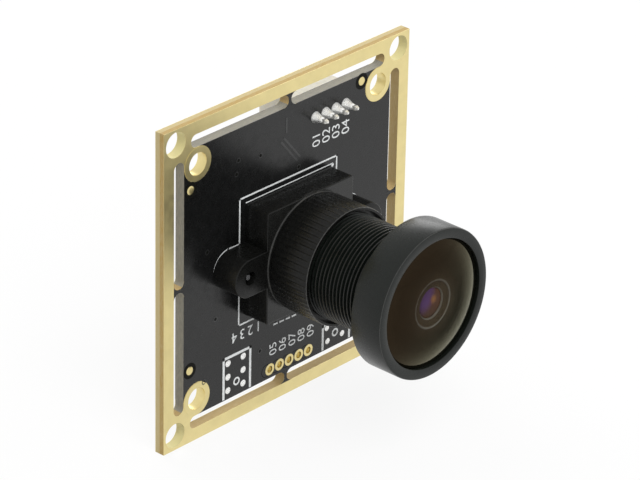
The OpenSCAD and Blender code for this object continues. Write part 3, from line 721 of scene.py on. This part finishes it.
class Sheet:
    """Flat shapes on a face of the board, gathered into one piece."""

    def __init__(self, name, base, thick, side=-1):
        self.name, self.parts, self.side = name, [], side
        self.low, self.high = sorted((base, base + side * thick))

    def line(self, a, b, width):
        """A straight line between two (x, z) points, with its ends square and full."""
        along = Vector(b) - Vector(a)
        middle = (Vector(a) + Vector(b)) / 2 * MM
        deselect()
        bpy.ops.mesh.primitive_cube_add(
            size=1, location=(middle.x, (self.low + self.high) / 2 * MM, middle.y),
            rotation=(0, -math.atan2(along.y, along.x), 0),
            scale=((along.length + width) * MM, (self.high - self.low) * MM, width * MM),
        )
        self.parts.append(settle(named(self.name)))

    def path(self, points, width):
        for a, b in zip(points, points[1:]):
            self.line(a, b, width)

    def ring(self, x, z, outer, inner):
        profile = [(inner, self.low), (outer, self.low), (outer, self.high), (inner, self.high)]
        self.parts.append(turned(self.name, [*profile, profile[0]], (x, z), 40, 30))

    def arc(self, x, z, radius, width, side):
        """Half a ring, on one side of its centre along X."""
        self.ring(x, z, radius + width / 2, radius - width / 2)
        reach = radius + width
        low, high = sorted((x, x - side * reach))
        cut = box("cut", (low, self.low - 1, z - reach), (high, self.high + 1, z + reach))
        combine(self.parts[-1], cut, "DIFFERENCE")

    def dot(self, x, z, radius):
        self.parts.append(drill(self.name, x, z, radius, self.low, self.high, 32))

    def bead(self, x, z, radius):
        """A low round bead of metal on the mask."""
        top = self.high
        profile = [(0, top), (radius, top), (radius, top - 0.015), (radius * 0.9, top - 0.05),
                   (radius * 0.5, top - 0.09), (0, top - 0.1)]
        self.parts.append(turned(self.name, profile, (x, z), 32, 60))

    def number(self, text, x, z, size, directions):
        """A plain number with its middle at a point."""
        along, up = directions
        deselect()
        bpy.ops.object.text_add()
        obj = bpy.context.object
        obj.data.body = text
        obj.data.size = size * MM
        obj.data.align_x = obj.data.align_y = "CENTER"
        obj.data.extrude = (self.high - self.low) / 2 * MM
        obj.data.resolution_u = 3
        bpy.ops.object.convert(target="MESH")
        obj = named(self.name)
        turn = Matrix(((along[0], up[0], 0), (0, 0, self.side), (along[1], up[1], 0))).to_4x4()
        place = Vector((x, (self.low + self.high) / 2, z)) * MM
        obj.matrix_world = Matrix.Translation(place) @ turn
        self.parts.append(close_up(settle(obj), 1e-8, 0))

    def frame(self, low, high, margin, width):
        """A closed frame around a solid, so far outside its corners."""
        x0, z0, x1, z1 = low[0] - margin, low[2] - margin, high[0] + margin, high[2] + margin
        self.path([(x0, z0), (x1, z0), (x1, z1), (x0, z1), (x0, z0)], width)

    def corners(self, low, high, margin, reach, width):
        """An angle outside each corner of a solid."""
        for x, dx in ((low[0] - margin, 1), (high[0] + margin, -1)):
            for z, dz in ((low[2] - margin, 1), (high[2] + margin, -1)):
                self.path([(x + dx * reach, z), (x, z), (x, z + dz * reach)], width)

    def sides(self, low, high, axis, gap, past, width):
        """A line along each side of a solid that faces along an axis, 0 for X and 2 for Z."""
        along = 2 - axis
        for end, way in ((low, -1), (high, 1)):
            a, b = [0.0, 0.0, 0.0], [0.0, 0.0, 0.0]
            a[axis] = b[axis] = end[axis] + way * gap
            a[along], b[along] = low[along] - past, high[along] + past
            self.line(a[::2], b[::2], width)

    def pad(self, low, high, margin, height=0.0, narrow=1.0):
        """A pad under a solid, or a fillet of solder that narrows as it climbs its sides."""
        base, top = self.low, self.low + max(height, self.high - self.low)
        self.parts.append(box(self.name, (low[0] - margin, base, low[2] - margin),
                              (high[0] + margin, top, high[2] + margin)))
        if narrow < 1.0:
            edit(self.parts[-1])
            pick(lambda vert: vert.co.y > (top - 1e-4) * MM)
            full, lost = 2 * margin, 2 * margin * narrow
            share = [(b - a + full - lost) / (b - a + full) for a, b in zip(low, high)]
            x, y, z = ((a + b) / 2 * MM for a, b in zip(low, high))
            bpy.ops.transform.resize(value=(share[0], 1, share[2]), center_override=(x, top * MM, z))
            leave()

    def done(self, key, slot="board"):
        for part in self.parts:
            part.data.materials.clear()
        return finish(joined(self.name, self.parts), key, slot)


def vias(tracks, holes, places, outer, inner):
    """Raised rings under the mask, and in them dark discs of painted shade for the holes."""
    for x, z in places:
        tracks.ring(x, z, outer, inner)
        # Each hole is a thin dark disc: painted shade.
        holes.dot(x, z, inner)


class CAMERA_OT_print(bpy.types.Operator):
    """Print the outlines, ticks and plain numbers, and lay the marks, tracks and vias"""

    bl_idname = "board_camera.print"
    bl_label = "Print and marks"

    def execute(self, context):
        s = in_mm(context.scene.print_sizes)
        top = FACE - context.scene.board_sizes.mask / MM
        self.white(s, top)
        self.marks(s, top)
        self.tracks(s, top)
        return {"FINISHED"}

    def white(self, s, top):
        sheet = Sheet("print_front", top, s.thick)
        # The holder's outline, with an arc round each ear
        half, neck, ear_x, ear_r = 7.58, 2.25, 9.35, 2.3
        for side in (-1, 1):
            sheet.line((-half, side * half), (half, side * half), s.line)
            for up in (-1, 1):
                sheet.path([(side * half, up * half), (side * half, up * neck),
                            (side * ear_x, up * ear_r)], s.line)
            sheet.arc(side * (ear_x - 0.15), 0.06, ear_r - 0.06, s.line, side)
        sheet.line((-6.6, 6.86), (6.95, 6.86), s.line * 0.6)
        sheet.dot(6.93, 6.68, 0.2)
        # Ticks under the holder, one for each of a row of connections
        for i in range(4):
            sheet.line((-2.0 + i * 0.98, -9.55 - i * 0.03), (-1.52 + i * 0.98, -9.57 - i * 0.03), s.line)
        # Frames for two small parts at the lower edge, open towards it
        for x0, x1, z in SMALL_FRAMES:
            sheet.path([(x0, -15.7), (x0, z), (x1, z), (x1, -15.7)], s.heavy)
        for x, z in SMALL_RINGS:
            sheet.ring(x, z, 0.5, 0.3)
        for i, x in enumerate(PIN_NUMBERS):
            sheet.number("%02d" % (i + 1), x, 10.6, s.digits, UPWARDS)
        for i, x in enumerate(HOLE_NUMBERS):
            sheet.number("%02d" % (i + 5), x, -12.5, s.digits * 0.92, UPWARDS)
        for i in range(4):
            sheet.number(str(i + 1), -4.5 - i * 1.25, -8.75, s.digits, TURNED)
        sheet.done("print")

    def marks(self, s, top):
        bare = Sheet("mark_rings", top, 0.004)
        gold = Sheet("placing_marks", top, 0.02)
        gold.high = top
        for x, z in PLACING_MARKS:
            bare.ring(x, z, s.mark * 1.9, s.mark * 0.5)
            gold.bead(x, z, s.mark)
        for x, z in SIGNAL_HOLES:
            bare.ring(x, z, 0.80, 0.72)
        bare.done("bare")
        gold.done("gold", "gold")
        pads = Sheet("tinned_pads", top, 0.02)
        for radius, places in SMALL_PADS:
            for x, z in places:
                pads.bead(x, z, radius)
        pads.done("tin", "tin")

    def tracks(self, s, top):
        tracks, holes = Sheet("tracks_front", top, 0.02), Sheet("vias_front", top, 0.006)
        for shift in (0, 0.42):
            tracks.line((-1.25 + shift, 12.1 + shift * 0.8), (1.2 + shift, 9.2 + shift * 0.8), s.track)
        tracks.line((-0.5, 14.7), (-0.5, 13.1), s.track)
        for i in range(4):
            holes.line((-1.95, -8.2 - 0.36 * i), (-1.65, -8.2 - 0.36 * i), 0.1)
        holes.line((-1.1, -8.2), (-0.7, -7.95), 0.12)
        vias(tracks, holes, FRONT_VIAS, s.via, s.via * 0.6)
        tracks.done("track")
        holes.done("bare")


# ---- Holder ----

class CAMERA_OT_holder(bpy.types.Operator):
    """Mould the lens holder: block, ears and ribbed barrel"""

    bl_idname = "board_camera.holder"
    bl_label = "Lens holder"

    def execute(self, context):
        s = in_mm(context.scene.holder_sizes)
        s.top = FACE - s.block_h
        room, roof, hole = 5.7, 0.7, 0.77
        body = box("lens_holder_moulding", (-s.block, s.top, -s.block), (s.block, FACE, s.block))
        bevel_edges(body, 0.35, lambda a, b: abs(a.y - b.y) > 1e-5, 4)
        ears = drill("ears", 0, 0, s.ear_r, s.top, FACE, 72)
        edit(ears)
        for side in (-1, 1):
            pick(lambda vert: vert.co.x * side > 1e-5)
            bpy.ops.transform.translate(value=(side * s.ear_x * MM, 0, 0))
        leave()
        for piece in (body, ears):
            bevel_edges(piece, 0.12, lambda a, b: max(a.y, b.y) < (s.top + 0.001) * MM, 3)
        combine(body, ears, "UNION")
        combine(body, self.barrel(s), "UNION")
        combine(body, box("room", (-room, s.top + roof, -room), (room, 0, room)), "DIFFERENCE")
        combine(body, drill("bore", 0, 0, s.bore, MOUTH - 1, 0, 128), "DIFFERENCE")
        for side in (-1, 1):
            combine(body, drill("hole", side * s.ear_x, 0, hole, s.top - 1, 0, 48), "DIFFERENCE")
        close_up(body, 1e-7, 35)
        finish(body, "holder", "holder")
        root = (s.barrel - s.rib_depth) * MM
        # Painted highlight on the barrel's foot and on its mouth's edge.
        paint(body, "edge", lambda normal, radius, at: (
            root - 0.03 * MM < radius and (s.top - 0.15) * MM < at.y < (s.top - 0.001) * MM
            or at.y < (MOUTH + 0.1) * MM and radius > (s.barrel - 0.1) * MM
        ))
        # The block's front face gets the glossier black, painted lighter.
        paint(body, "holder_face_painted_lighter", lambda normal, radius, at: (
            normal.y < -0.99 and abs(at.y - s.top * MM) < 1e-5 and abs(at.x) < (s.block + 0.01) * MM
        ))
        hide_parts("lens_holder")
        dress("holder_screws", "screw")
        return {"FINISHED"}

    def barrel(self, s):
        """The barrel, drawn as rings from the block: a plain band, then soft grooves up to the mouth."""
        # How deep each point around one rib lies, from its crest at 0 to the groove at 1
        rib = (0.0, 0.15, 0.55, 1.0, 0.85, 0.35)
        per = len(rib)
        count = s.ribs * per
        groove = s.barrel - s.rib_depth
        plain, inner, core = groove - 0.04, groove - 0.3, s.bore - 0.3
        start, band = s.top + 0.3, s.top - 0.5
        radii, y = [plain + 0.16] * per, start
        deselect()
        bpy.ops.mesh.primitive_circle_add(
            vertices=count, radius=radii[0] * MM, location=(0, y * MM, 0), rotation=(math.pi / 2, 0, 0)
        )
        obj = settle(named("barrel"))
        bpy.ops.object.mode_set(mode="EDIT")
        bpy.ops.mesh.select_all(action="SELECT")
        for next_y, crest, low in (
            (s.top - 0.06, plain + 0.04, plain + 0.04), (s.top - 0.16, plain, plain),
            (band + 0.05, plain, plain), (band, plain + 0.03, plain + 0.03),
            (band - 0.12, s.barrel - 0.03, groove), (band - 0.2, s.barrel, groove),
            (MOUTH + 0.08, s.barrel, groove), (MOUTH, s.barrel - 0.07, groove - 0.02),
            (MOUTH, inner + 0.03, inner + 0.03), (MOUTH + 0.04, inner, inner),
            (MOUTH + 0.6, inner, inner), (MOUTH + 0.6, core, core), (start, core, core),
            (start, plain + 0.16, plain + 0.16),
        ):
            bpy.ops.mesh.extrude_region_move(TRANSFORM_OT_translate={"value": (0, (next_y - y) * MM, 0)})
            wanted = [crest - (crest - low) * share for share in rib]
            ring, turns = set(chosen()), {}
            verts = bmesh.from_edit_mesh(obj.data).verts
            verts.ensure_lookup_table()
            for index in ring:
                at = math.atan2(verts[index].co.z, verts[index].co.x) / (2 * math.pi)
                turns.setdefault(round(at * count) % per, set()).add(index)
            for turn, indices in turns.items():
                factor = wanted[turn] / radii[turn]
                if abs(factor - 1) > 1e-9:
                    pick(lambda vert: vert.index in indices)
                    bpy.ops.transform.resize(
                        value=(factor, 1, factor), center_override=(0, next_y * MM, 0)
                    )
            pick(lambda vert: vert.index in ring)
            radii, y = wanted, next_y
        leave()
        return close_up(obj, 1e-6, 0)


# ---- Lens ----

class CAMERA_OT_lens_body(bpy.types.Operator):
    """Turn the lens body: head, neck and a true screw thread"""

    bl_idname = "board_camera.lens_body"
    bl_label = "Lens body"

    def execute(self, context):
        s = in_mm(context.scene.lens_sizes)
        s.back = BODY_FRONT + s.head_h
        self.head(s)
        self.thread(s)
        return {"FINISHED"}

    def head(self, s):
        bore = s.glass + 0.03
        seat = BODY_FRONT + s.sunk + s.edge
        stack_r, stack_end = 4.8, -6.66
        rear_r, filter_r, filter_end = 4.08, 4.41, BODY_REAR - 0.6
        body = turned("lens_head", [
            (s.core, BODY_REAR - 0.15), (s.core, s.back), (s.head - 0.12, s.back),
            (s.head - 0.03, s.back - 0.03), (s.head, s.back - 0.12), (s.head, BODY_FRONT + 0.16),
            (s.head - 0.03, BODY_FRONT + 0.07), (s.head - 0.08, BODY_FRONT + 0.02),
            (s.head - 0.15, BODY_FRONT), (bore + 0.1, BODY_FRONT), (bore + 0.03, BODY_FRONT + 0.03),
            (bore, BODY_FRONT + 0.1), (bore, seat), (stack_r, seat), (stack_r, stack_end),
            (rear_r, stack_end), (rear_r, filter_end), (filter_r, filter_end), (filter_r, BODY_REAR),
            (s.core - 0.15, BODY_REAR), (s.core, BODY_REAR - 0.15),
        ], segments=192, smooth=25)
        finish(body, "body", "lens_body")
        # Painted highlight on the head's front chamfer.
        paint(body, "edge", lambda normal, radius, at: (
            (s.head - 0.1) * MM < radius and at.y < (BODY_FRONT + 0.1) * MM and normal.y < -0.2
        ))
        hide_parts("lens_body")

    def thread(self, s):
        """One tooth's section, screwed along the body from near its rear end to near the head."""
        start, end = BODY_REAR - 0.4, s.back + 0.5
        tooth = [(s.core - 0.05, 0.06), (s.core, 0.06), (s.crest, 0.18), (s.crest, 0.32),
                 (s.core, 0.44), (s.core - 0.05, 0.44)]
        deselect()
        bpy.ops.mesh.primitive_circle_add(
            vertices=len(tooth), radius=0.1 * MM, location=(s.core * MM, start * MM, 0), fill_type="NGON"
        )
        ridge = settle(named("lens_thread"))
        bpy.ops.object.mode_set(mode="EDIT")
        section = list(bmesh.from_edit_mesh(ridge.data).faces)[0]
        for vert, (r, y) in zip(section.verts, tooth):
            vert.co = Vector((r, start - y, 0)) * MM
        bmesh.update_edit_mesh(ridge.data)
        leave()
        modify(ridge, "SCREW", axis="Y", angle=2 * math.pi, screw_offset=-s.pitch * MM,
               iterations=int((start - end) / s.pitch), steps=96, render_steps=96,
               use_merge_vertices=False)
        close_up(ridge, 1e-7, 20)
        finish(ridge, "body", "lens_body")
        # Painted highlight on the thread's crests.
        paint(ridge, "crest", lambda normal, radius, at: radius > (s.crest - 0.01) * MM)


class CAMERA_OT_glasses(bpy.types.Operator):
    """Grind the front glass and coat the glasses behind it"""

    bl_idname = "board_camera.glasses"
    bl_label = "Glasses"

    def execute(self, context):
        s = in_mm(context.scene.lens_sizes)
        s.rim = BODY_FRONT + s.sunk
        s.seat = s.rim + s.edge
        s.reach = s.glass - 0.45
        self.dome(s)
        self.cone(s)
        self.eye(s)
        for node in ("second_glass", "third_glass", "fourth_glass", "rear_glass"):
            dress(node, "inner_glass")
        dress("infrared_filter", "filter")
        dress("sensor_glass", "sensor_glass")
        dress("image_sensor", "sensor")
        dress("front_seal", "seal")
        for node in ("second_spacer", "third_spacer", "fourth_spacer", "rear_spacer", "aperture_stop"):
            dress(node, "inside")
        return {"FINISHED"}

    def dome(self, s):
        """The front glass, as a shell with its two faces about one centre."""
        centre = s.rim + math.sqrt(s.glass_curve ** 2 - s.glass ** 2)

        def surface(radius, back):
            """The front surface's outline, or one behind it, from the axis out to a radius."""
            curve = s.glass_curve - back
            turns = (math.asin(radius / curve) * i / 24 for i in range(25))
            return [(curve * math.sin(a), centre - curve * math.cos(a)) for a in turns]

        edge = [(s.glass, s.rim + 0.04), (s.glass, s.seat - 0.04), (s.glass - 0.04, s.seat),
                (s.reach, s.seat)]
        profile = surface(s.glass - 0.04, 0.0) + edge + surface(s.reach, s.shell)[::-1]
        obj = turned("front_glass_dome", profile, segments=160, smooth=25)
        finish(obj, "glass", "front_glass")
        paint(obj, "inside", lambda normal, radius, at: (
            abs(normal.y) < 0.1 or normal.y > 0.999 and radius > (s.reach + 0.01) * MM
        ))
        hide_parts("front_glass")

    def cone(self, s):
        """The cone behind the front glass, dark but lifted to a painted sheen that stands for the front
        glass's reflection, with a painted highlight on its lip and on the small glass's ring.
        """
        wide = s.reach - 0.05
        cone = turned("inner_cone", [
            (wide, s.seat), (wide, s.seat - 0.75), (s.lip + 0.14, 0.04 - s.lip_at),
            (s.lip + 0.04, -s.lip_at), (s.lip - 0.08, 0.07 - s.lip_at), (s.lip - 0.2, 0.2 - s.lip_at),
            (s.eye + 0.3, -0.02 - s.well_at), (s.eye + 0.14, -s.well_at), (s.eye, 0.16 - s.well_at),
            (s.eye, 0.3 - s.well_at), (s.eye, s.seat), (wide, s.seat),
        ], segments=128, smooth=20)
        finish(cone, "baffle_with_painted_sheen", "lens_ring")
        # Painted highlight on the lip and on the small glass's ring.
        paint(cone, "lip", lambda normal, radius, at: (
            (s.lip - 0.09) * MM < radius < (s.lip + 0.15) * MM and at.y < (0.08 - s.lip_at) * MM
            or s.eye * MM < radius < (s.eye + 0.13) * MM and at.y < (0.17 - s.well_at) * MM
        ))

    def eye(self, s):
        """The small coated glass in the cone."""
        base, rise = 0.22 - s.well_at, 0.28
        cap = [(s.eye * math.sin(a), base - rise * math.cos(a)) for a in
               (math.pi / 2 * i / 10 for i in range(11))]
        glass = turned("second_glass_front", [*cap, (s.eye, base + 0.3), (0, base + 0.3)],
                       segments=96, smooth=40)
        finish(glass, "eye", "inner_glass")


# ---- Header and back ----

class CAMERA_OT_parts(bpy.types.Operator):
    """Finish the header, its solder and the parts on the back"""

    bl_idname = "board_camera.parts"
    bl_label = "Header and small parts"

    def execute(self, context):
        for node, key in (
            ("header_shell", "shell"), ("header_pins", "pin"), ("header_solder", "tin"),
            ("controller_chip", "chip"), ("controller_leads", "pin"), ("memory_chip", "chip"),
            ("memory_leads", "pin"), ("crystal_can", "can"), ("crystal_base", "base"),
            ("regulators", "chip"), ("regulator_leads", "pin"), ("power_coil", "ferrite"),
            ("coil_ends", "tin"), ("capacitors", "ceramic"), ("capacitor_ends", "tin"),
            ("resistors", "resistor"), ("resistor_ends", "tin"),
        ):
            dress(node, key)
        cones = []
        for low, high in solids("header_pins"):
            middle = (low[0] + high[0]) / 2, (low[2] + high[2]) / 2
            cones.append(turned("solder_cones", [
                (0, FACE), (0.66, FACE), (0.64, -1.3), (0.57, -1.5), (0.46, -1.8), (0.36, -2.15),
                (0.30, -2.4), (0.2, -2.48), (0, -2.5),
            ], middle, 40, 60))
        cones = joined("solder_cones", cones)
        finish(cones, "tin", "tin")
        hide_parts("header_solder")
        return {"FINISHED"}


class CAMERA_OT_back(bpy.types.Operator):
    """Solder the parts on the back, and print their outlines and plain numbers"""

    bl_idname = "board_camera.back"
    bl_label = "Back of the board"

    def execute(self, context):
        s = in_mm(context.scene.print_sizes)
        top = context.scene.board_sizes.mask / MM
        s.line, s.digits, s.track = s.line * 0.7, s.digits * 0.7, s.track * 0.8
        self.solder(top)
        self.white(s, top)
        self.tracks(s, top)
        self.chips()
        return {"FINISHED"}

    def solder(self, top):
        pads = Sheet("pads_back", top, 0.02, 1)
        for node, margin in (("controller_leads", 0.06), ("memory_leads", 0.06),
                             ("regulator_leads", 0.06), ("coil_ends", 0.3)):
            for low, high in solids(node):
                pads.pad(low, high, margin)
        low, high = solids("crystal_base")[0]
        for x in (low[0], high[0]):
            for z in (low[2], high[2]):
                pads.pad((x, 0, z), (x, 0, z), 0.5)
        for node, climb in (("capacitor_ends", 0.42), ("resistor_ends", 0.25)):
            for low, high in solids(node):
                pads.pad(low, high, 0.16)
                pads.pad(low, high, 0.13, climb, 0.05)
        pads.done("tin", "tin")

    def white(self, s, top):
        sheet = Sheet("print_back", top, s.thick, 1)
        low, high = solids("controller_chip")[0]
        sheet.corners(low, high, 0.55, 0.5, s.line)
        sheet.dot(high[0] + 1.1, high[2] + 0.9, 0.22)
        low, high = solids("memory_chip")[0]
        sheet.sides(low, high, 2, 0.25, 0, s.line)
        sheet.dot(high[0] + 0.7, high[2] + 0.35, 0.2)
        for low, high in solids("regulators"):
            sheet.sides(low, high, 0, 0.25, 0, s.line)
        for node, margin in (("crystal_base", 0.65), ("header_shell", 0.3)):
            sheet.frame(*solids(node)[0], margin, s.line)
        sheet.sides(*solids("power_coil")[0], 2, 0.3, 0.3, s.line)
        for low, high in solids("capacitors"):
            axis = 0 if high[0] - low[0] < high[2] - low[2] else 2
            sheet.sides(low, high, axis, 0.27, 0.35, s.line)
        for node, first, last in (("header_shell", "1", "4"), ("signal_pads", "5", "9")):
            low, high = (Vector(corner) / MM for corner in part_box(node))
            for number, x in ((first, low.x - 0.95), (last, high.x + 0.95)):
                sheet.number(number, x, (low.z + high.z) / 2, s.digits, FROM_BEHIND)
        for number, x, z in BACK_NUMBERS:
            sheet.number(number, x, z, s.digits, FROM_BEHIND)
        sheet.done("print")

    def tracks(self, s, top):
        tracks, holes = Sheet("tracks_back", top, 0.02, 1), Sheet("vias_back", top, 0.006, 1)
        low, high = (Vector(corner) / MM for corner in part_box("controller_leads"))
        # From the controller's upper leads to the header's pins
        for i, (pin_low, pin_high) in enumerate(sorted(solids("header_pins"))):
            start, end, turn = high.x - 3.3 + 0.45 * i, (pin_low[0] + pin_high[0]) / 2, 7.6 - 0.45 * i
            tracks.path([(start, high.z), (start, turn), (end, turn + end - start), (end, 12)], s.track)
        # In pairs to the memory, to the crystal and down to the signal holes
        for i in range(2):
            x, z = low.x - 0.35 - 0.4 * i, 2.4 + 0.5 * i
            tracks.path([(low.x, z), (x, z + low.x - x), (x, 6.8), (x - 1.3, 8.1)], s.track)
            x, z = high.x + 3.2 - 0.75 * i, -0.5 - 0.5 * i
            tracks.path([(high.x, z), (high.x + 0.5 - 0.15 * i, z), (x, z - 2.7 + 0.6 * i), (x, -4.1)],
                        s.track)
            x, end = 0.9 + 0.5 * i, 0.2 + 0.45 * i
            tracks.path([(x, low.z), (x, low.z - 1.9), (end, low.z - 2.6), (end, -11.6)], s.track)
        vias(tracks, holes, BACK_VIAS, s.via * 0.9, s.via * 0.5)
        tracks.done("track")
        holes.done("bare")

    def chips(self):
        """The dimple by each chip's first pin, and a plain number on the larger parts."""
        for node, number, size in (("controller_chip", "01", 1.5), ("memory_chip", "02", 1.2)):
            low, high = solids(node)[0]
            body = copied(node)
            x, top, z = high[0] - 0.75, high[1], high[2] - 0.75
            dimple = drill("dimple", x, z, 0.32, top - 0.05, top + 1, 32)
            combine(body, dimple, "DIFFERENCE")
            body.name = body.data.name = node.replace("chip", "moulding")
            finish(close_up(body, 1e-7, 20), "chip", "chip")
            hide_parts(node)
            self.mark(node.replace("chip", "number"), low, high, number, size, "chip")
        self.mark("coil_number", *solids("power_coil")[0], "100", 1.3, "ferrite")

    def mark(self, name, low, high, number, size, slot):
        """A plain number in the middle of a part's top."""
        sheet = Sheet(name, high[1], 0.004, 1)
        sheet.number(number, (low[0] + high[0]) / 2, (low[2] + high[2]) / 2, size, FROM_BEHIND)
        sheet.done("laser", slot)


# ---- Stage ----

# The camera's turn, tilt and roll in degrees, and its distances in millimetres
AZIMUTH, ELEVATION, ROLL = -47.839, 27.036, 1.208
ASIDE, ALOFT, DISTANCE = 3.498, 0.016, 426.463
FOCAL = 222.21

# Each lamp's name, place and side in metres, and power in watts
LAMPS = (
    ("key", (-0.10, -0.25, 0.32), 0.22, 1.0),
    ("fill", (0.32, -0.22, 0.14), 0.25, 0.5),
    ("rear", (0.05, 0.35, 0.28), 0.25, 0.8),
    ("rim", (0.33, 0.27, 0.16), 0.2, 0.3),
)


def seen_directly(tree):
    """1 for a ray from the camera, a mirror or clear glass, and 0 for light on its way."""
    path = tree.nodes.new("ShaderNodeLightPath")
    value = path.outputs["Is Camera Ray"]
    for name in ("Is Glossy Ray", "Is Transmission Ray"):
        most = tree.nodes.new("ShaderNodeMath")
        most.operation = "MAXIMUM"
        tree.links.new(value, most.inputs[0])
        tree.links.new(path.outputs[name], most.inputs[1])
        value = most.outputs[0]
    return value


def share_of(tree, value, low, high):
    """A value of 0 to 1 taken to another range."""
    made = tree.nodes.new("ShaderNodeMapRange")
    made.inputs["To Min"].default_value = low
    made.inputs["To Max"].default_value = high
    tree.links.new(value, made.inputs["Value"])
    return made.outputs["Result"]


class CAMERA_OT_stage(bpy.types.Operator):
    """Set the floor, the lamps, the world and the camera"""

    bl_idname = "board_camera.stage"
    bl_label = "Stage"

    def execute(self, context):
        context.scene.view_settings.view_transform = "Standard"
        self.floor()
        self.world(context.scene)
        self.lamps()
        self.camera(context.scene)
        return {"FINISHED"}

    def floor(self):
        deselect()
        bpy.ops.mesh.primitive_plane_add(size=30, location=(0, 0, -PANEL * MM))
        floor = named("floor")
        made = Finish("pale_floor", (0.86, 0.86, 0.86), 0.9, Specular_IOR_Level=0.0)
        glow = made.node("ShaderNodeEmission")
        mix = made.node("ShaderNodeMixShader")
        made.link(share_of(made.tree, seen_directly(made.tree), 0.0, 0.88), mix.inputs[0])
        made.link(made.shader.outputs[0], mix.inputs[1])
        made.link(glow.outputs[0], mix.inputs[2])
        made.link(mix.outputs[0], made.tree.nodes["Material Output"].inputs["Surface"])
        floor.data.materials.append(made.material)

    def world(self, scene):
        scene.world = bpy.data.worlds.new("white_room")
        scene.world.use_nodes = True
        tree = scene.world.node_tree
        back = tree.nodes["Background"]
        back.inputs["Color"].default_value = (1, 1, 1, 1)
        tree.links.new(share_of(tree, seen_directly(tree), 0.45, 1.0), back.inputs["Strength"])

    def lamps(self):
        for name, place, side, power in LAMPS:
            deselect()
            bpy.ops.object.light_add(type="AREA", location=place)
            lamp = named(name)
            lamp.data.shape = "SQUARE"
            lamp.data.size = side
            lamp.data.energy = power
            lamp.visible_glossy = name == "rim"
            lamp.rotation_euler = (-Vector(place)).to_track_quat("-Z", "Y").to_euler()

    def camera(self, scene):
        az, el, roll = (math.radians(a) for a in (AZIMUTH, ELEVATION, ROLL))
        back = Vector((math.sin(az) * math.cos(el), -math.cos(az) * math.cos(el), math.sin(el)))
        level = Vector((0, 0, 1)).cross(back).normalized()
        up = back.cross(level)
        right = level * math.cos(roll) + up * math.sin(roll)
        up = up * math.cos(roll) - level * math.sin(roll)
        place = (right * ASIDE + up * ALOFT + back * DISTANCE + Vector((0, FACE, 0))) * MM
        deselect()
        bpy.ops.object.camera_add()
        camera = named("camera")
        camera.matrix_world = Matrix.Translation(place) @ Matrix((right, up, back)).transposed().to_4x4()
        camera.data.lens = FOCAL
        camera.data.sensor_width = 36
        camera.data.clip_start = 0.01
        camera.data.clip_end = 20
        scene.camera = camera


class CAMERA_PT_sidebar(bpy.types.Panel):
    bl_label = "Board camera"
    bl_idname = "CAMERA_PT_sidebar"
    bl_space_type = "VIEW_3D"
    bl_region_type = "UI"
    bl_category = "Board camera"

    def draw(self, context):
        for name, group in GROUPS:
            column = self.layout.column()
            for key in group.__annotations__:
                column.prop(getattr(context.scene, name), key)
        for step in STEPS:
            self.layout.operator(step.bl_idname)


GROUPS = (("board_sizes", BoardSizes), ("print_sizes", PrintSizes), ("holder_sizes", HolderSizes),
          ("lens_sizes", LensSizes))
STEPS = (CAMERA_OT_board, CAMERA_OT_print, CAMERA_OT_holder, CAMERA_OT_lens_body, CAMERA_OT_glasses,
         CAMERA_OT_parts, CAMERA_OT_back, CAMERA_OT_stage)


def register():
    for name, group in GROUPS:
        bpy.utils.register_class(group)
        setattr(bpy.types.Scene, name, bpy.props.PointerProperty(type=group))
    for step in (*STEPS, CAMERA_PT_sidebar):
        bpy.utils.register_class(step)


def unregister():
    for step in (CAMERA_PT_sidebar, *reversed(STEPS)):
        bpy.utils.unregister_class(step)
    for name, group in reversed(GROUPS):
        delattr(bpy.types.Scene, name)
        bpy.utils.unregister_class(group)


def main():
    register()
    make_finishes()
    for step in STEPS:
        group, name = step.bl_idname.split(".")
        getattr(getattr(bpy.ops, group), name)()


if __name__ == "__main__":
    main()
